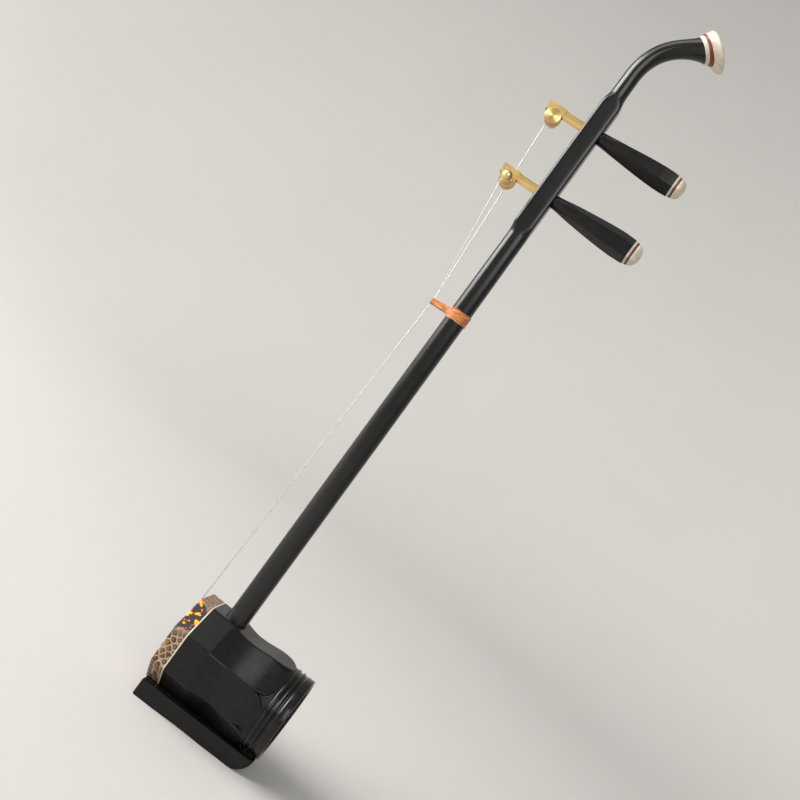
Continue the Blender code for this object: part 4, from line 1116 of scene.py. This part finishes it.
def make_spool(side):
    """Axle, flange, barrel and ball knob, with the string's turns on the barrel."""
    sign = SPOOL_SIDE[side]
    body = side + "_spool"
    centre = (0, SPOOL_Y, PEG_Z[side] - SPOOL_DROP)
    axle, rim = 2.0 * MM, 5.4 * MM
    flange = HOUSING_HALF + 0.3 * MM
    flange_end = flange + 0.6 * MM
    start, end = radians(46), radians(176)
    barrel_end = BALL_X - BALL_RADIUS * cos(start) - 0.2 * MM
    profile = [(-HOUSING_HALF, axle - 0.2 * MM), (-HOUSING_HALF + 0.2 * MM, axle), (flange, axle)]
    profile += [(flange, rim - 0.2 * MM), (flange + 0.15 * MM, rim), (flange + 0.45 * MM, rim)]
    profile += [(flange_end, rim - 0.2 * MM), (flange_end, BARREL_RADIUS)]
    profile += [(barrel_end - 0.3 * MM, BARREL_RADIUS), (barrel_end, BARREL_RADIUS + 0.15 * MM)]
    for i in range(33):
        angle = start + (end - start) * i / 32
        profile.append((BALL_X - BALL_RADIUS * cos(angle), BALL_RADIUS * sin(angle)))
    shape = lathe(profile, 72, centre, (sign, 0, 0))
    piece(side + "_spool_turned", shape, "brass_ball", [side + "_spool"], body, 35)
    string = "inner" if side == "upper" else "outer"
    gauge = WIRE[string]
    coil = BARREL_RADIUS + gauge + 0.04 * MM
    low, high = flange_end + gauge + 0.05 * MM, barrel_end - 0.3 * MM - gauge
    turns = int((high - low) / (2.06 * gauge))
    points = []
    for i in range(turns * 28 + 1):
        angle = 2 * pi * i / 28
        x = low + (high - low) * i / (turns * 28)
        points.append((sign * x, centre[1] - coil * cos(angle), centre[2] + coil * sin(angle)))
    wire(side + "_string_turns", points, gauge, string + "_wire", [side + "_string_winding"], body)


# Strings, qianjin, bridge and anchor


QIANJIN_LOW, QIANJIN_HIGH = node_box("qianjin_wrap")
QIANJIN_Z = (QIANJIN_LOW.z + QIANJIN_HIGH.z) / 2
STRING_Y = -29.4 * MM
PIN_Z = 9.6 * MM
HOOKS = {"inner": -10.6 * MM, "outer": -12.6 * MM}  # where each string is hooked on the pin, along Y
BRIDGE_Y = node_box("bridge")[0].y


def string_points(side, hook_y, radius):
    """The taut route of one string: spool, qianjin, bridge, box edge and anchor pin."""
    sign = SPOOL_SIDE[side]
    bridge_y = BRIDGE_Y - radius
    box_bottom = BOX_Z - BOX_APOTHEM
    route = [
        (STRING_X, SPOOL_Y - BARREL_RADIUS - radius, PEG_Z[side] - SPOOL_DROP),
        (1.4 * MM, STRING_Y, QIANJIN_Z + 3.5 * MM),
        (1.3 * MM, STRING_Y, QIANJIN_Z - 3.5 * MM),
        (2.0 * MM, bridge_y, BOX_Z + 2.5 * MM),
        (2.0 * MM, bridge_y, BOX_Z - 2.5 * MM),
        (2.0 * MM, SKIN_FRONT - 1.2 * MM, box_bottom + 1.0 * MM),
        (2.0 * MM, SKIN_FRONT + 0.2 * MM, box_bottom - 1.4 * MM),
        (3.4 * MM, -17.4 * MM, PIN_Z + 0.5 * MM),
        (3.2 * MM, -15.1 * MM, PIN_Z + 0.2 * MM),
    ]
    hook = 2.25 * MM
    for step in range(13):
        angle = radians(128) * step / 12
        route.append((hook * cos(angle), hook_y, PIN_Z - hook * sin(angle)))
    route = [Vector((sign * x, y, z)) for x, y, z in route]
    points = []
    for first, second in zip(route, route[1:]):
        count = max(1, int((second - first).length / (14 * MM)))
        points += [first.lerp(second, i / count) for i in range(count)]
    return points + [route[-1]]


def make_strings():
    for name, side in (("inner", "upper"), ("outer", "lower")):
        points = string_points(side, HOOKS[name], WIRE[name])
        node = name + "_string"
        wire(node + "_wire", points, WIRE[name], name + "_wire", [node], sides=3)


def make_qianjin():
    """Thread wound round the neck, and the strands that loop out round the strings."""
    gauge = 0.42 * MM
    half_y, half_x, power = along_table(STICK, QIANJIN_Z)
    low, high = QIANJIN_LOW.z + gauge, QIANJIN_HIGH.z - gauge
    turns = int((high - low) / (2 * gauge)) + 1
    steps = 40
    points = []
    for i in range(turns * steps + 1):
        angle = 2 * pi * i / steps
        swell = 0.18 * MM * sin(7.3 * i / steps)
        radius = rounded(angle, half_x + gauge + swell, half_y + gauge + swell, power)
        z = low + (high - low) * i / (turns * steps) + 0.8 * MM * sin(angle)
        points.append((radius * cos(angle), radius * sin(angle), z))
    wire("qianjin_turns", points, gauge, "thread", ["qianjin_wrap"])
    strands, root_x, root_y, tip_x, tip_reach = 6, 6.5 * MM, -8.6 * MM, 2.55 * MM, 1.1 * MM
    for k in range(strands):
        share = k / (strands - 1) * 2 - 1
        tip_z = QIANJIN_Z - 0.9 * MM + share * 2.5 * MM
        root_z = QIANJIN_Z + 0.2 * MM + share * 2.9 * MM
        run = []
        for u in (i / 8 for i in range(9)):
            x = root_x + (tip_x - root_x) * sin(u * pi / 2) ** 0.6
            run.append((x, root_y + (STRING_Y - root_y) * u, root_z + (tip_z - root_z) * eased(u)))
        points = list(run)
        for angle in (pi * i / 12 for i in range(1, 12)):
            radius = rounded(angle, tip_x, tip_reach, 3)
            points.append((radius * cos(angle), STRING_Y - radius * sin(angle), tip_z))
        points += [(-x, y, z) for x, y, z in reversed(run)]
        nodes = ["qianjin_loop"] if k == 0 else []
        wire(f"qianjin_strand_{k + 1}", points, 0.50 * MM, "thread", nodes)


def make_bridge():
    """A low maple bridge with two feet, and the felt pad below it."""
    low, high = node_box("bridge")
    seat, top, half = high.y, low.y, high.x
    crown, foot, edge = 3.6 * MM, 5.2 * MM, seat - 1.0 * MM
    outline = [(-half, seat), (-half, edge)]
    for share in (i / 8 for i in range(1, 8)):
        outline.append((-half + (half - crown) * share, edge + (top - edge) * eased(share)))
    outline += [(-crown, top), (-2.6 * MM, top), (-2.3 * MM, top + 0.3 * MM)]
    outline += [(-1.7 * MM, top + 0.3 * MM), (-1.4 * MM, top)]
    outline += [(-x, y) for x, y in reversed(outline)] + [(foot, seat)]
    outline += [(foot * cos(a), seat - 1.5 * MM * sin(a)) for a in np.linspace(0.2, pi - 0.2, 11)]
    outline += [(-foot, seat)]
    shape = prism(outline, low.z, high.z, "Z")
    soften(piece("maple_bridge", shape, "maple", ["bridge"]), 0.15 * MM, 2)
    low, high = node_box("damper_pad")
    middle, half = (low.z + high.z) / 2, (high.z - low.z) / 2
    rows = []
    for share in (0, 0.03, 0.1, 0.22, 0.4, 0.6, 0.8, 0.93, 1):
        y = high.y + (low.y - high.y) * share
        squeeze = 1 - 0.16 * max(0, (share - 0.55) / 0.45) ** 2 + 0.05 * sin(pi * share)
        turns = [2 * pi * i / 64 for i in range(64)]
        reaches = [rounded(a, high.x * squeeze, half * squeeze, 5) for a in turns]
        rows.append([(reach * cos(a), y, middle + reach * sin(a)) for a, reach in zip(turns, reaches)])
    piece("felt_damper", tube(rows), "felt", ["damper_pad"], sharp=60)


def make_pin():
    low, high = node_box("string_anchor_pin")
    profile = [(low.y, 1.6 * MM), (low.y + 0.3 * MM, 2.3 * MM), (low.y + 0.7 * MM, 2.6 * MM)]
    profile += [(-15.5 * MM, 2.6 * MM), (-15.4 * MM, 2.4 * MM), (-15.4 * MM, 1.5 * MM), (high.y, 1.5 * MM)]
    shape = lathe(profile, 48, (0, 0, PIN_Z), (0, 1, 0))
    piece("brass_anchor_pin", shape, "brass", ["string_anchor_pin"], sharp=40)


def finish_kept_nodes():
    """Hidden gears keep their CAD shape and get the fine metal."""
    for side in SIDES:
        for node, finish in (("worm_shaft", "steel"), ("worm_wheel", "brass")):
            materials = frame["nodes"][f"{side}_{node}"].data.materials
            materials.clear()
            materials.append(FINISHES[finish][0])


# Stage, lights and camera


def make_stage():
    """A pale floor that curves up into a wall far behind the object and stays flat on the near side."""
    flat, sweep, height, sides = 1.4, 2.8, 3.6, 96
    radii = [0.001, 0.5, 1.0] + [flat + sweep * i / 24 for i in range(25)]
    rows = []
    for radius in radii:
        row = []
        for angle in (2 * pi * i / sides for i in range(sides)):
            rise = height * max(0, (radius - flat) / sweep) ** 2.4 * eased(0.35 - 0.9 * cos(angle))
            row.append((radius * cos(angle), radius * sin(angle), rise))
        rows.append(row)
    points, faces = tube(rows)
    faces[-2:] = [faces[-2][::-1]]
    mesh = bpy.data.meshes.new("pale_floor")
    mesh.from_pydata(points, [], faces)
    mesh.shade_smooth()
    mesh.materials.append(pale_floor())
    add("pale_floor", mesh)


def make_lights():
    """A wide key softbox in front, a fill behind, a weak overhead softbox and a soft grey surround."""
    target = Vector((0, 0, 0.4))
    for name, place, size, power in (
        ("key_softbox", (1.25, -3.6, 2.0), (3.4, 2.2), 360),
        ("fill_softbox", (4.0, 1.4, 2.4), (3.0, 2.4), 85),
        ("overhead_softbox", (0.7, -1.1, 2.3), (1.1, 1.1), 11),
    ):
        light = bpy.data.lights.new(name, "AREA")
        light.shape = "RECTANGLE"
        light.size, light.size_y = size
        light.energy = power
        obj = add(name, light)
        obj.location = place
        obj.rotation_euler = (Vector(place) - target).to_track_quat("Z", "Y").to_euler()
    world = bpy.data.worlds.new("studio")
    world.use_nodes = True
    colour, strength = world.node_tree.nodes["Background"].inputs[:2]
    colour.default_value, strength.default_value = (0.95, 0.97, 1.0, 1), 0.35
    bpy.context.scene.world = world
    bpy.context.scene.view_settings.view_transform = "Standard"


def make_camera():
    """Beside the object at +X, a little to the rear, turned 8.4 degrees and rolled 36."""
    yaw, pitch, roll = radians(8.431), radians(0.436), radians(36.09)
    forward = Vector((-cos(pitch) * cos(yaw), -cos(pitch) * sin(yaw), -sin(pitch)))
    level = forward.cross(Vector((0, 0, 1))).normalized()
    upright = level.cross(forward)
    right = cos(roll) * level + sin(roll) * upright
    up = -sin(roll) * level + cos(roll) * upright
    camera = bpy.data.cameras.new("camera")
    camera.lens = 41.40
    camera.sensor_width = 36
    camera.clip_start = 0.01
    obj = add("camera", camera)
    turn = Matrix((right, up, -forward)).transposed().to_4x4()
    obj.matrix_world = Matrix.Translation((861.8 * MM, 129.3 * MM + NECK_Y, 368.8 * MM)) @ turn
    bpy.context.scene.camera = obj


def main():
    make_camera()
    make_stage()
    make_lights()
    make_sound_box()
    make_skin()
    make_binding()
    make_base()
    make_neck()
    make_head_cap()
    for side in SIDES:
        make_handle(side)
        make_housing(side)
        make_spool(side)
    make_qianjin()
    make_bridge()
    make_pin()
    make_strings()
    finish_kept_nodes()


main()
